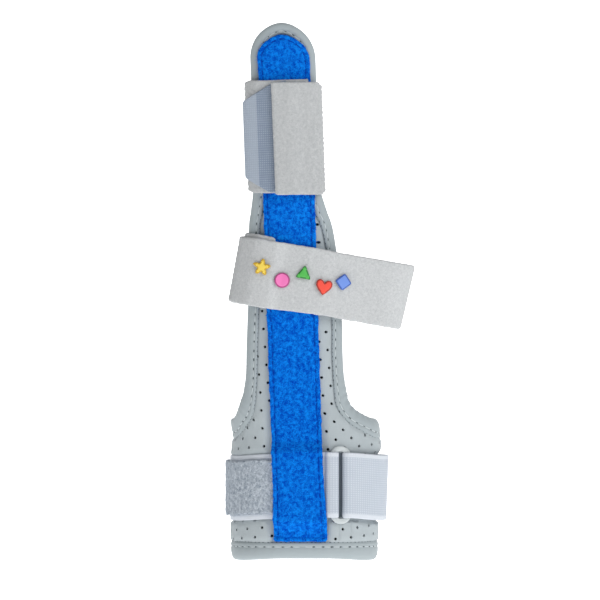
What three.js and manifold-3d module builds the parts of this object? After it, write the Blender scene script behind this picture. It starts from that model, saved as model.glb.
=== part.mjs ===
import * as THREE from 'three';
import { mergeGeometries, mergeVertices } from 'three/addons/utils/BufferGeometryUtils.js';
import Module from 'manifold-3d';

const { lerp, smoothstep, degToRad } = THREE.MathUtils;
const wasm = await Module();
wasm.setup();

// Finger brace: a perforated panel with a wrist cuff, a blue loop strip and three straps.
// Millimetres, +Z up along the finger, +X to the right, the back of the hand faces -Y.
// The origin is on the wrist hollow's axis, level with the cuff's lower edge.
// Heights off the panel are measured outward from the panel's outer face.

// Clearance between touching pieces
const GAP = 0.3;

// Cuff round the wrist, its section to the panel's outer face
const CUFF_HALF_WIDTH = 27.5;
const CUFF_HALF_DEPTH = 21;
const CUFF_HEIGHT = 52;
const CUFF_PALM_GAP = 16;
const CUFF_CORNER = 9;

// Panel from the cuff to the fingertip, as cut flat
const PANEL_LENGTH = 206.6;
const FINGER_HALF_WIDTH = 12.4;
const NECK_HALF_WIDTH = 20.6;
const NECK_RISE = 11;
const SHOULDER_REACH = 37;
const TIP_LENGTH = 14;
const BLADE_RADIUS = 18;
const BLADE_HALF_FLAT = 4;
const FORM_CHANGE = 88;

// Lean of the finger's line against the wrist
const LEAN = degToRad(2.06);
const LEAN_FOOT = -1.4;
const LEAN_EASE = 18;

// Layers of the panel and its edge tape
const CORE_THICKNESS = 1.6;
const FACE_THICKNESS = 1;
const TAPE_THICKNESS = 0.8;
const TAPE_WIDTH = 6.4;
const TAPE_EDGE_ROUND = 0.5;
const TAPE_BACK_GAP = 0.5;

// Perforations
const HOLE_DIAMETER = 1.1;
const HOLE_COLUMN_STEP = 3.35;
const HOLE_ROW_STEP = 6.93;
const HOLE_TURN = degToRad(4.8);
const HOLE_MARGIN = 0.9;
const HOLE_REACH = 29;

// Blue loop strip
const STRIP_WIDTH = 20;
const STRIP_THICKNESS = 1.4;
const STRIP_HEM_GAP = 0.5;
const STRIP_TIP_GAP = 4.5;
const STRIP_RAMP = 5;

// Wrist strap, its pile and its ring
const WEBBING_WIDTH = 25.2;
const WEBBING_THICKNESS = 1;
const WRIST_STRAP_HEIGHT = 27.8;
const STRAP_RAMP = 8;
const STRAP_TAIL_REACH = 70;
const STRAP_ROOT_INSET = 2;
const PILE_WIDTH = 20.8;
const PILE_THICKNESS = 1;
const PILE_START = 12.6;
const PILE_RING_GAP = 6;
const RING_PLACE = 13.8;
const RING_WIDTH = 7.6;
const RING_LENGTH = 30.1;
const RING_BAR = 1.8;
const RING_THICKNESS = 1.2;
const FOLD_RADIUS = 1.6;

// Finger strap and its hook tab
const FINGER_STRAP_WIDTH = 43.4;
const FINGER_STRAP_DROP = 43.9;
const FINGER_STRAP_THICKNESS = 1.5;
const FINGER_STRAP_ROOT = 9.4;
const FINGER_STRAP_END = -4.7;
const FINGER_WIDTH = 14.4;
const FINGER_DEPTH = 14;
const TAB_THICKNESS = 0.8;
const TAB_END = -15.6;
const TAB_TUCK = 6;
const TAB_TOP_CHAMFER = 9.2;
const TAB_LOW_CHAMFER = 6.2;

// Hand strap
const HAND_STRAP_WIDTH = 25.1;
const HAND_STRAP_THICKNESS = 1.5;
const HAND_STRAP_HEIGHT = 106.5;
const HAND_STRAP_SIDE = 6.5;
const HAND_STRAP_TILT = degToRad(10.3);
const HAND_STRAP_RIGHT = 33.2;
const HAND_STRAP_ROOT = -20;
const HAND_STRAP_TAIL = 36;
const PALM_DEPTH = 24;
const PALM_OUTER_RADIUS = 11.5;
const PALM_INNER_RADIUS = 8;
const PALM_INNER_REACH = 27;
const PLY_RAMP = 5;

// Raised motifs on the hand strap
const BADGE_THICKNESS = 1;
const BADGE_SIZE = 6.4;

// Half widths of the panel from the neck up, as shares of the rise and of the spread at the neck
const BLADE_SHARES = [
  { rise: 0, spread: 1 },
  { rise: 0.06, spread: 0.8 },
  { rise: 0.16, spread: 0.7 },
  { rise: 0.28, spread: 0.56 },
  { rise: 0.49, spread: 0.35 },
  { rise: 0.55, spread: 0.17 },
  { rise: 0.62, spread: 0.02 },
  { rise: 0.75, spread: 0 },
  { rise: 1, spread: 0 },
];

// First perforation on each side of the blue strip
const HOLE_STARTS = [
  { side: 1, across: 8.4, up: 49.1 },
  { side: -1, across: -13.4, up: 54 },
];

// Motifs in a wavy row, their places as shares of the motif size
const BADGES = [
  { name: 'badge_star', across: -3.6, up: 0.25, color: 0xf2d34b },
  { name: 'badge_disc', across: -2.35, up: -0.3, color: 0xe94f9c },
  { name: 'badge_triangle', across: -1.15, up: 0.3, color: 0x4caf50 },
  { name: 'badge_heart', across: 0.1, up: -0.25, color: 0xe53935 },
  { name: 'badge_diamond', across: 1.25, up: 0.25, color: 0x5b7fd6 },
];

// Colours and finishes
const FINISH = {
  core: { color: 0x2a2d30, roughness: 0.9 },
  face: { color: 0xb3babd, roughness: 0.7 },
  tape: { color: 0xa5adb1, roughness: 0.55 },
  strip: { color: 0x0a6bd6, roughness: 0.95 },
  webbing: { color: 0xcdd3d8, roughness: 0.7 },
  pile: { color: 0xa4adb6, roughness: 0.95 },
  ring: { color: 0xdfe4e6, roughness: 0.3 },
  plush: { color: 0xc2c5c6, roughness: 0.95 },
  tab: { color: 0x8f9cae, roughness: 0.75 },
};

// Values that follow from the sizes above
const CUFF_HALF_FLAT = CUFF_HALF_WIDTH - CUFF_HALF_DEPTH;
const CUFF_GIRTH = 4 * CUFF_HALF_FLAT + 2 * Math.PI * CUFF_HALF_DEPTH;
const CUFF_HALF_LENGTH = (CUFF_GIRTH - CUFF_PALM_GAP) / 2;
const NECK_HEIGHT = CUFF_HEIGHT + NECK_RISE;
const TAPE_TOP = GAP + TAPE_THICKNESS;
const PANEL_DEPTH = FACE_THICKNESS + GAP + CORE_THICKNESS;
const TAPE_BOTTOM = -PANEL_DEPTH - TAPE_BACK_GAP - TAPE_THICKNESS;
const WEBBING_LOW = WRIST_STRAP_HEIGHT - WEBBING_WIDTH / 2;
const WEBBING_HIGH = WRIST_STRAP_HEIGHT + WEBBING_WIDTH / 2;
const STRIP_OVER_STRAP = 3 * GAP + 2 * WEBBING_THICKNESS;
const STRIP_OVER_TAPE = TAPE_TOP + GAP;
const STRIP_LOW = TAPE_WIDTH + STRIP_HEM_GAP;
const STRIP_HIGH = PANEL_LENGTH - STRIP_TIP_GAP;
const FINGER_STRAP_HEIGHT = PANEL_LENGTH - FINGER_STRAP_DROP;
const RING_NEAR_EDGE = RING_PLACE - RING_WIDTH / 2;
const RING_NEAR_BAR = RING_NEAR_EDGE + RING_BAR / 2;
const RING_FAR_BAR = RING_PLACE + RING_WIDTH / 2 - RING_BAR / 2;

// Side position of the finger's line at a height
function spineAt(z) {
  return LEAN_FOOT - z * Math.tan(LEAN);
}

// Section of the panel at a height: half of its flat front, radius of its sides, its middle
function sectionAt(z) {
  const change = smoothstep(z, CUFF_HEIGHT, CUFF_HEIGHT + FORM_CHANGE);
  const shift = smoothstep(z, NECK_HEIGHT - LEAN_EASE + GAP, NECK_HEIGHT);
  return {
    flat: lerp(CUFF_HALF_FLAT, BLADE_HALF_FLAT, change),
    radius: lerp(CUFF_HALF_DEPTH, BLADE_RADIUS, change),
    middle: spineAt(z) * shift,
  };
}

// Place on the bent panel of a point of the flat pattern, at a height off the outer face
function wrap(across, z, off) {
  const { flat, radius, middle } = sectionAt(z);
  const girth = 4 * flat + 2 * Math.PI * radius;
  const turned = across - girth * Math.round(across / girth);
  const side = Math.sign(turned) || 1;
  const run = Math.abs(turned);
  const turn = THREE.MathUtils.clamp((run - flat) / radius, 0, Math.PI);
  const past = Math.max(0, run - flat - Math.PI * radius);
  const x = Math.min(run, flat) - past + (radius + off) * Math.sin(turn);
  const y = radius - CUFF_HALF_DEPTH - (radius + off) * Math.cos(turn);
  return new THREE.Vector3(middle + side * x, y, z);
}

// Closed body from corner points and triangles, its faces pointing out
function closedBody(points, triangles) {
  let volume = 0;
  for (const [a, b, c] of triangles) {
    volume += points[a].dot(points[b].clone().cross(points[c]));
  }
  const faces = volume < 0 ? triangles.map(([a, b, c]) => [a, c, b]) : triangles;
  const geometry = new THREE.BufferGeometry().setFromPoints(points);
  geometry.setIndex(faces.flat());
  return geometry;
}

// Solid for cutting and joining, from a closed geometry
function toSolid(geometry) {
  const bare = geometry.clone();
  bare.deleteAttribute('normal');
  bare.deleteAttribute('uv');
  const merged = mergeVertices(bare, 1e-4);
  return new wasm.Manifold(new wasm.Mesh({
    numProp: 3,
    vertProperties: new Float32Array(merged.attributes.position.array),
    triVerts: new Uint32Array(merged.index.array),
  }));
}

// Geometry of a cut or joined solid
function fromSolid(solid) {
  const mesh = solid.getMesh();
  const geometry = new THREE.BufferGeometry();
  geometry.setAttribute('position', new THREE.BufferAttribute(mesh.vertProperties, 3));
  geometry.setIndex(new THREE.BufferAttribute(mesh.triVerts, 1));
  return geometry;
}

// Values from low to high in equal steps of at most the given length
function steps(low, high, longest) {
  const count = Math.max(1, Math.ceil((high - low) / longest));
  return Array.from({ length: count + 1 }, (_, i) => lerp(low, high, i / count));
}

// The part of a polygon on one side of a line across an axis
function clipped(polygon, axis, limit, sign) {
  const kept = [];
  polygon.forEach((point, i) => {
    const next = polygon[(i + 1) % polygon.length];
    const here = (point[axis] - limit) * sign;
    const there = (next[axis] - limit) * sign;
    if (here >= 0) {
      kept.push(point);
    }
    if (here * there < 0) {
      kept.push(point.clone().lerp(next, here / (here - there)));
    }
  });
  return kept;
}

// Flat outline split into cells by lines across and up, as shared points and triangles
function splitOutline(outline, acrossLines, upLines) {
  const points = [];
  const triangles = [];
  const known = new Map();
  const indexOf = (point) => {
    const key = `${Math.round(point.x * 1e3)},${Math.round(point.y * 1e3)}`;
    if (!known.has(key)) {
      known.set(key, points.push(point) - 1);
    }
    return known.get(key);
  };
  for (let i = 0; i + 1 < acrossLines.length; i += 1) {
    const column = clipped(clipped(outline, 'x', acrossLines[i], 1), 'x', acrossLines[i + 1], -1);
    for (let j = 0; j + 1 < upLines.length; j += 1) {
      const cell = clipped(clipped(column, 'y', upLines[j], 1), 'y', upLines[j + 1], -1);
      if (cell.length < 3) {
        continue;
      }
      for (const face of THREE.ShapeUtils.triangulateShape(cell, [])) {
        const corners = face.map((k) => cell[k]);
        const [a, b, c] = corners.map(indexOf);
        if (a === b || b === c || c === a) {
          continue;
        }
        triangles.push(THREE.ShapeUtils.area(corners) > 0 ? [a, b, c] : [a, c, b]);
      }
    }
  }
  return { points, triangles };
}

// Closed sheet over a flat outline: split, given a lower and an upper face and bent into place
function bentSheet(outline, acrossLines, upLines, lower, upper, place) {
  const { points, triangles } = splitOutline(outline, acrossLines, upLines);
  const count = points.length;
  const corners = [
    ...points.map((p) => place(p.x, p.y, lower(p.x, p.y))),
    ...points.map((p) => place(p.x, p.y, upper(p.x, p.y))),
  ];
  const inner = new Set();
  const faces = [];
  for (const [a, b, c] of triangles) {
    faces.push([a, c, b], [a + count, b + count, c + count]);
    for (const [from, to] of [[a, b], [b, c], [c, a]]) {
      inner.add(`${from},${to}`);
    }
  }
  for (const key of inner) {
    const [from, to] = key.split(',').map(Number);
    if (!inner.has(`${to},${from}`)) {
      faces.push([from, to, to + count], [from, to + count, from + count]);
    }
  }
  return closedBody(corners, faces);
}

// Band along a path of flat points, its thickness square to the path, its width up
function band(path, thickness, low, high, place) {
  const corners = [];
  const faces = [];
  path.forEach((point, i) => {
    const before = path[Math.max(0, i - 1)];
    const after = path[Math.min(path.length - 1, i + 1)];
    const along = after.clone().sub(before).normalize();
    for (const [side, z] of [[-1, low], [1, low], [1, high], [-1, high]]) {
      const reach = side * thickness / 2;
      corners.push(place(point.x - along.y * reach, z, point.y + along.x * reach));
    }
  });
  const last = 4 * (path.length - 1);
  for (let start = 0; start < last; start += 4) {
    for (let k = 0; k < 4; k += 1) {
      const a = start + k;
      const b = start + (k + 1) % 4;
      faces.push([a, b, b + 4], [a, b + 4, a + 4]);
    }
  }
  faces.push([0, 2, 1], [0, 3, 2], [last, last + 1, last + 2], [last, last + 2, last + 3]);
  return closedBody(corners, faces);
}

// Lines at which the flat pattern is split before it is bent
const PANEL_ACROSS = steps(-CUFF_HALF_LENGTH, CUFF_HALF_LENGTH, 5.4);
const PANEL_UP = [
  0,
  NECK_HEIGHT - LEAN_EASE,
  ...steps(NECK_HEIGHT - LEAN_EASE / 2, NECK_HEIGHT + LEAN_EASE, LEAN_EASE / 3),
  ...steps(NECK_HEIGHT + 2 * LEAN_EASE, PANEL_LENGTH, LEAN_EASE),
];

// Edge of the panel's flat pattern, as cut, going round to the left of travel
function panelOutline() {
  const half = new THREE.Path();
  const tipStart = PANEL_LENGTH - TIP_LENGTH;
  half.moveTo(0, 0);
  half.lineTo(CUFF_HALF_LENGTH - CUFF_CORNER, 0);
  half.absarc(CUFF_HALF_LENGTH - CUFF_CORNER, CUFF_CORNER, CUFF_CORNER, -Math.PI / 2, 0);
  half.lineTo(CUFF_HALF_LENGTH, CUFF_HEIGHT - CUFF_CORNER);
  half.absarc(CUFF_HALF_LENGTH - CUFF_CORNER, CUFF_HEIGHT - CUFF_CORNER, CUFF_CORNER, 0, Math.PI / 2);
  half.lineTo(SHOULDER_REACH, CUFF_HEIGHT);
  half.quadraticCurveTo(NECK_HALF_WIDTH + 1, CUFF_HEIGHT, NECK_HALF_WIDTH, NECK_HEIGHT);
  half.splineThru(BLADE_SHARES.slice(1).map(({ rise, spread }) => new THREE.Vector2(
    lerp(FINGER_HALF_WIDTH, NECK_HALF_WIDTH, spread),
    lerp(NECK_HEIGHT, tipStart, rise),
  )));
  half.absellipse(0, tipStart, FINGER_HALF_WIDTH, TIP_LENGTH, 0, Math.PI / 2);
  const right = half.getPoints(4);
  const left = right.slice(1, -1).reverse().map((p) => new THREE.Vector2(-p.x, p.y));
  return splitAtLines([...right, ...left]);
}

// Closed outline with points added where it crosses the lines at which the panel is split
function splitAtLines(outline) {
  const points = [];
  outline.forEach((point, i) => {
    const next = outline[(i + 1) % outline.length];
    if (point.distanceTo(next) < 0.05) {
      return;
    }
    const shares = [0];
    for (const [axis, lines] of [['x', PANEL_ACROSS], ['y', PANEL_UP]]) {
      for (const line of lines) {
        const share = (line - point[axis]) / (next[axis] - point[axis]);
        if (share > 0.02 && share < 0.98) {
          shares.push(share);
        }
      }
    }
    const length = point.distanceTo(next);
    shares.sort((a, b) => a - b);
    const kept = shares.filter((share, k) => k === 0 || (share - shares[k - 1]) * length > 0.6);
    points.push(...kept.map((share) => point.clone().lerp(next, share)));
  });
  return points;
}

// Directions into the outline at its points
function inwardAt(outline) {
  return outline.map((_, i) => {
    const before = outline[(i + outline.length - 1) % outline.length];
    const after = outline[(i + 1) % outline.length];
    const along = after.clone().sub(before).normalize();
    return new THREE.Vector2(-along.y, along.x);
  });
}

// Outline moved inward by a distance
function inset(outline, distance) {
  const inward = inwardAt(outline);
  return outline.map((point, i) => point.clone().addScaledVector(inward[i], distance));
}

const PANEL = panelOutline();

// Half width of the flat pattern at a height
function halfWidthAt(z) {
  let widest = 0;
  PANEL.forEach((point, i) => {
    const next = PANEL[(i + 1) % PANEL.length];
    if ((point.y - z) * (next.y - z) <= 0 && point.y !== next.y) {
      const x = lerp(point.x, next.x, (z - point.y) / (next.y - point.y));
      widest = Math.max(widest, x);
    }
  });
  return widest;
}

// One layer of the panel between two heights off its outer face
function panelLayer(low, high) {
  const edge = inset(PANEL, TAPE_THICKNESS + GAP);
  return bentSheet(edge, PANEL_ACROSS, PANEL_UP, () => low, () => high, wrap);
}

// Middle of the blue strip in the flat pattern, at a height
function stripMiddle(z) {
  return spineAt(z) - sectionAt(z).middle;
}

// Least distance of a flat point from the edge of the pattern
function distanceToEdge(point) {
  return Math.min(...PANEL.map((start, i) => {
    const along = PANEL[(i + 1) % PANEL.length].clone().sub(start);
    const share = point.clone().sub(start).dot(along) / along.lengthSq();
    return start.clone().addScaledVector(along, THREE.MathUtils.clamp(share, 0, 1)).distanceTo(point);
  }));
}

// Places of the perforations in the flat pattern, in staggered columns on both sides of the strip
function holePlaces() {
  const places = [];
  const count = Math.ceil(PANEL_LENGTH / HOLE_ROW_STEP);
  const half = (STRIP_WIDTH + HOLE_DIAMETER) / 2;
  for (const { side, across, up } of HOLE_STARTS) {
    const start = new THREE.Vector2(across, up);
    for (let i = -count; i <= count; i += 1) {
      for (let j = -count; j <= count; j += 1) {
        const row = j + (i % 2 ? 0.5 : 0);
        const point = new THREE.Vector2(across + i * HOLE_COLUMN_STEP, up + row * HOLE_ROW_STEP);
        point.rotateAround(start, HOLE_TURN);
        point.x -= sectionAt(point.y).middle;
        const beside = side * (point.x - stripMiddle(point.y)) > half;
        const inPanel = Math.abs(point.x) < Math.min(HOLE_REACH, halfWidthAt(point.y));
        if (beside && inPanel && distanceToEdge(point) > TAPE_WIDTH + HOLE_MARGIN) {
          places.push({ across: point.x, z: point.y });
        }
      }
    }
  }
  return places;
}

// Grey outer layer with its perforations cut through
function makePanelFace() {
  const length = FACE_THICKNESS + GAP;
  const pins = holePlaces().map(({ across, z }) => {
    const inside = wrap(across, z, -FACE_THICKNESS);
    const outside = wrap(across, z, 0);
    const pin = new THREE.CylinderGeometry(HOLE_DIAMETER / 2, HOLE_DIAMETER / 2, length, 6);
    const direction = outside.clone().sub(inside).normalize();
    pin.applyQuaternion(new THREE.Quaternion().setFromUnitVectors(new THREE.Vector3(0, 1, 0), direction));
    const middle = inside.lerp(outside, 0.5);
    return pin.translate(middle.x, middle.y, middle.z);
  });
  return fromSolid(toSolid(panelLayer(-FACE_THICKNESS, 0)).subtract(toSolid(mergeGeometries(pins))));
}

// Dark foam behind the outer layer
function makeFoamCore() {
  return panelLayer(-PANEL_DEPTH, -FACE_THICKNESS - GAP);
}

// Tape folded over the panel's edge: a channel swept round the outline
function makeEdgeBinding() {
  const channel = [
    [0, TAPE_BOTTOM],
    [TAPE_WIDTH, TAPE_BOTTOM],
    [TAPE_WIDTH, TAPE_BOTTOM + TAPE_THICKNESS],
    [TAPE_THICKNESS, TAPE_BOTTOM + TAPE_THICKNESS],
    [TAPE_THICKNESS, GAP],
    [TAPE_WIDTH, GAP],
    [TAPE_WIDTH, TAPE_TOP],
    [TAPE_EDGE_ROUND, TAPE_TOP],
    [0, TAPE_TOP - TAPE_EDGE_ROUND],
  ];
  const inward = inwardAt(PANEL);
  const corners = [];
  const faces = [];
  PANEL.forEach((point, i) => {
    for (const [depth, off] of channel) {
      const flat = point.clone().addScaledVector(inward[i], depth);
      corners.push(wrap(flat.x, flat.y, off));
    }
  });
  const count = channel.length;
  for (let i = 0; i < PANEL.length; i += 1) {
    for (let k = 0; k < count; k += 1) {
      const next = ((i + 1) % PANEL.length) * count;
      const a = i * count + k;
      const b = i * count + (k + 1) % count;
      faces.push([a, b, next + (k + 1) % count], [a, next + (k + 1) % count, next + k]);
    }
  }
  return closedBody(corners, faces);
}

// Height off the panel of the blue strip's underside: over the wrist strap and over the tape
function stripRest(z) {
  const overStrap = smoothstep(z, WEBBING_LOW - GAP - STRIP_RAMP, WEBBING_LOW - GAP)
    * (1 - smoothstep(z, WEBBING_HIGH + GAP, WEBBING_HIGH + GAP + STRIP_RAMP));
  const roomAcross = halfWidthAt(z) - TAPE_WIDTH - STRIP_WIDTH / 2;
  const overTape = z < NECK_HEIGHT ? 0 : 1 - smoothstep(roomAcross, GAP, 2 * GAP + 1);
  return Math.max(lerp(GAP, STRIP_OVER_STRAP, overStrap), lerp(GAP, STRIP_OVER_TAPE, overTape));
}

// Blue strip from the hem to the fingertip, square below and round above
function makeSpineStrip() {
  const outline = new THREE.Path();
  const half = STRIP_WIDTH / 2;
  outline.moveTo(-half, STRIP_LOW);
  outline.lineTo(half, STRIP_LOW);
  outline.lineTo(half, STRIP_HIGH - half);
  outline.absarc(0, STRIP_HIGH - half, half, 0, Math.PI);
  const upLines = [
    ...steps(STRIP_LOW, WEBBING_LOW - GAP, STRIP_RAMP / 3),
    ...steps(WEBBING_HIGH + GAP, WEBBING_HIGH + GAP + STRIP_RAMP, STRIP_RAMP / 3),
    ...steps(NECK_HEIGHT, STRIP_HIGH, 7),
  ];
  return bentSheet(
    outline.getPoints(7),
    steps(-half, half, half / 2),
    upLines,
    (_, z) => stripRest(z),
    (_, z) => stripRest(z) + STRIP_THICKNESS,
    (across, z, off) => wrap(across + stripMiddle(z), z, off),
  );
}

// Height off the panel of the wrist strap's underside: raised over the cuff's taped ends
function strapRest(across) {
  const fromPalm = Math.abs(Math.abs(across) - CUFF_GIRTH / 2);
  const nearTape = CUFF_PALM_GAP / 2 + TAPE_WIDTH + 2 * GAP;
  return lerp(TAPE_TOP + GAP, GAP, smoothstep(fromPalm, nearTape, nearTape + STRAP_RAMP));
}

// Half turn of the webbing round a ring bar, from one ply to the other
function barFold(middle, direction) {
  const centre = GAP + WEBBING_THICKNESS / 2 + FOLD_RADIUS;
  return steps(0, Math.PI, Math.PI / 8).map((turn) => new THREE.Vector2(
    middle + direction * FOLD_RADIUS * Math.sin(turn),
    centre + FOLD_RADIUS * Math.cos(turn),
  ));
}

// Wrist strap: from under the blue strip to the ring, back and round the wrist, through the ring and back
function wristStrapPath() {
  const half = WEBBING_THICKNESS / 2;
  const foldTop = GAP + half + 2 * FOLD_RADIUS;
  const foldInset = RING_BAR / 2 + GAP + half - FOLD_RADIUS;
  const nearFold = barFold(RING_NEAR_BAR + foldInset, 1);
  const farFold = barFold(RING_FAR_BAR - foldInset, -1).reverse();
  const underStrip = 2 * GAP + WEBBING_THICKNESS + half;
  const stripEdge = stripMiddle(WRIST_STRAP_HEIGHT) + STRIP_WIDTH / 2;
  const root = stripEdge - STRIP_WIDTH + STRAP_ROOT_INSET;
  const riseEnd = RING_NEAR_EDGE - GAP;
  const rootEnd = riseEnd - FOLD_RADIUS;
  const rootPly = steps(root, rootEnd, 4).map((x) => new THREE.Vector2(x, underStrip));
  const rise = steps(rootEnd, riseEnd, 0.4).slice(1).map((x) => new THREE.Vector2(
    x,
    lerp(underStrip, foldTop, smoothstep(x, rootEnd, riseEnd)),
  ));
  const lowStart = nearFold.at(-1).x - 1;
  const lowEnd = farFold[0].x + 1 - CUFF_GIRTH;
  const lowPly = steps(lowEnd, lowStart, 4).reverse().map((x) => new THREE.Vector2(x, strapRest(x) + half));
  const topRest = (x) => lerp(
    foldTop,
    strapRest(x) + WEBBING_THICKNESS + GAP + PILE_THICKNESS + GAP + half,
    smoothstep(x, farFold.at(-1).x, farFold.at(-1).x + STRAP_RAMP),
  );
  const tail = steps(farFold.at(-1).x + 1, STRAP_TAIL_REACH, 3.5).map((x) => new THREE.Vector2(
    x - CUFF_GIRTH,
    topRest(x),
  ));
  const turned = farFold.map((p) => new THREE.Vector2(p.x - CUFF_GIRTH, p.y));
  return [...rootPly, ...rise, ...nearFold, ...lowPly, ...turned, ...tail];
}

function makeWristStrap() {
  return band(wristStrapPath(), WEBBING_THICKNESS, WEBBING_LOW, WEBBING_HIGH, wrap);
}

// Loop pile on the wrist strap, from beside the blue strip round to the ring
function makeWristStrapPile() {
  const end = RING_PLACE + RING_WIDTH / 2 + PILE_RING_GAP - CUFF_GIRTH;
  const path = steps(end, -PILE_START, 4).reverse().map((x) => new THREE.Vector2(
    x,
    strapRest(x) + WEBBING_THICKNESS + GAP + PILE_THICKNESS / 2,
  ));
  const low = WRIST_STRAP_HEIGHT - PILE_WIDTH / 2;
  return band(path, PILE_THICKNESS, low, low + PILE_WIDTH, wrap);
}

// Stadium outline about a middle
function stadium(middleX, middleY, width, length) {
  const radius = width / 2;
  const straight = length / 2 - radius;
  const outline = new THREE.Path();
  outline.absarc(middleX, middleY + straight, radius, 0, Math.PI);
  outline.absarc(middleX, middleY - straight, radius, Math.PI, 2 * Math.PI);
  return outline.getPoints(10).slice(0, -1);
}

// Slot ring: an upright stadium with a long slot, lying on the wrist strap's lower ply
function makeStrapRing() {
  const middle = GAP + WEBBING_THICKNESS / 2 + FOLD_RADIUS;
  const low = middle - RING_THICKNESS / 2;
  const high = middle + RING_THICKNESS / 2;
  const slotWidth = RING_WIDTH - 2 * RING_BAR;
  const body = stadium(RING_PLACE, WRIST_STRAP_HEIGHT, RING_WIDTH, RING_LENGTH);
  const slot = rectangle(
    RING_PLACE - slotWidth / 2,
    RING_PLACE + slotWidth / 2,
    WEBBING_LOW - GAP,
    WEBBING_HIGH + GAP,
  );
  const across = steps(RING_PLACE - RING_WIDTH, RING_PLACE + RING_WIDTH, 2.5);
  const up = steps(WRIST_STRAP_HEIGHT - RING_LENGTH, WRIST_STRAP_HEIGHT + RING_LENGTH, 2 * RING_LENGTH);
  const solid = toSolid(bentSheet(body, across, up, () => low, () => high, wrap));
  const cut = toSolid(bentSheet(slot, across, up, () => low - 1, () => high + 1, wrap));
  return fromSolid(solid.subtract(cut));
}

// Belt round discs in a plane: places at a run along it from its front, at a height off it
function beltRound(discs) {
  const stations = [];
  const turns = steps(0, 2 * Math.PI, Math.PI / 30).slice(0, -1);
  for (const turn of turns) {
    const outward = new THREE.Vector2(Math.sin(turn), -Math.cos(turn));
    const reach = (disc) => outward.dot(disc.centre) + disc.radius;
    const disc = discs.reduce((best, other) => (reach(other) > reach(best) + 1e-6 ? other : best));
    stations.push({ disc, outward, point: disc.centre.clone().addScaledVector(outward, disc.radius) });
  }
  let run = 0;
  stations.forEach((station, i) => {
    station.run = run;
    run += station.point.distanceTo(stations[(i + 1) % stations.length].point);
  });
  const girth = run;
  const zero = frontRun(stations, girth);
  const at = (along, off) => {
    const wanted = THREE.MathUtils.euclideanModulo(along + zero, girth);
    const i = stations.findLastIndex((station) => station.run <= wanted + 1e-9);
    const here = stations[i];
    const next = stations[(i + 1) % stations.length];
    const length = here.point.distanceTo(next.point);
    const share = length > 1e-9 ? (wanted - here.run) / length : 0;
    const outward = here.outward.clone().lerp(next.outward, share).normalize();
    return here.point.clone().lerp(next.point, share).addScaledVector(outward, off);
  };
  const runs = stations.map((station) => station.run - zero);
  return { at, girth, runs };
}

// Run at which the belt crosses its own middle at the front
function frontRun(stations, girth) {
  const last = stations.length - 1;
  const back = stations[last].point;
  const front = stations[0].point;
  if (front.x <= 0) {
    const i = stations.findIndex((station) => station.point.x > 0) - 1;
    const share = -stations[i].point.x / (stations[i + 1].point.x - stations[i].point.x);
    return lerp(stations[i].run, stations[i + 1].run, share);
  }
  return lerp(stations[last].run, girth, back.x < 0 ? -back.x / (front.x - back.x) : 1);
}

// Frame of a strap: its middle and its tilt in the plane of the panel's front
function strapFrame(x, z, tilt) {
  const along = new THREE.Vector2(Math.cos(tilt), -Math.sin(tilt));
  const up = new THREE.Vector2(Math.sin(tilt), Math.cos(tilt));
  return {
    local: (point) => new THREE.Vector2((point.x - x) * along.x + (point.z - z) * along.y, point.y),
    place: (side, rise, depth) => new THREE.Vector3(
      x + side * along.x + rise * up.x,
      depth,
      z + side * along.y + rise * up.y,
    ),
  };
}

// Placing of flat points on a strap's loop
function placeOn({ frame, belt }) {
  return (along, rise, off) => {
    const { x, y } = belt.at(along, off);
    return frame.place(x, rise, y);
  };
}

// Small discs that keep a strap clear of the panel's edges and of the blue strip
function panelGuards(frame, low, high, soften) {
  const guards = [];
  for (const z of steps(low, high, (high - low) / 4)) {
    const edge = halfWidthAt(z);
    const strip = STRIP_WIDTH / 2;
    const stripTop = stripRest(z) + STRIP_THICKNESS;
    for (const side of [-1, 1]) {
      for (const [across, off] of [
        [side * (edge - soften), TAPE_TOP - soften],
        [side * edge * 0.97, TAPE_BOTTOM + soften],
        [side * (strip - soften) + stripMiddle(z), stripTop - soften],
        [side * sectionAt(z).flat + stripMiddle(z), stripTop - soften],
      ]) {
        const centre = frame.local(wrap(across, z, off));
        guards.push({ centre, radius: soften * Math.SQRT2 + GAP });
      }
    }
  }
  return guards;
}

// Flat outline of a plain rectangle
function rectangle(left, right, low, high) {
  return [
    new THREE.Vector2(left, low),
    new THREE.Vector2(right, low),
    new THREE.Vector2(right, high),
    new THREE.Vector2(left, high),
  ];
}

// Lines along a belt where its direction changes, between two runs
function beltLines(belt, from, to, longest) {
  const lines = [from, to];
  for (let turn = -2; turn <= 2; turn += 1) {
    for (const run of belt.runs) {
      const value = run + turn * belt.girth;
      if (value > from + 0.4 && value < to - 0.4) {
        lines.push(value);
      }
    }
  }
  lines.sort((a, b) => a - b);
  const thinned = lines.filter((value, i) => i === 0 || i === lines.length - 1 || value - lines[i - 1] > 0.25);
  return thinned.slice(0, -1).flatMap((value, i) => steps(value, thinned[i + 1], longest).slice(0, -1))
    .concat(thinned.at(-1));
}

// Loop of the finger strap round the panel and the finger
function fingerLoop() {
  const frame = strapFrame(spineAt(FINGER_STRAP_HEIGHT), FINGER_STRAP_HEIGHT, -LEAN);
  const half = FINGER_STRAP_WIDTH / 2;
  const guards = panelGuards(frame, FINGER_STRAP_HEIGHT - half, FINGER_STRAP_HEIGHT + half, 0.6);
  const back = PANEL_DEPTH + GAP + FINGER_DEPTH - CUFF_HALF_DEPTH;
  const radius = FINGER_WIDTH / 2;
  guards.push({ centre: new THREE.Vector2(0, back - radius), radius });
  return { frame, belt: beltRound(guards) };
}

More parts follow.
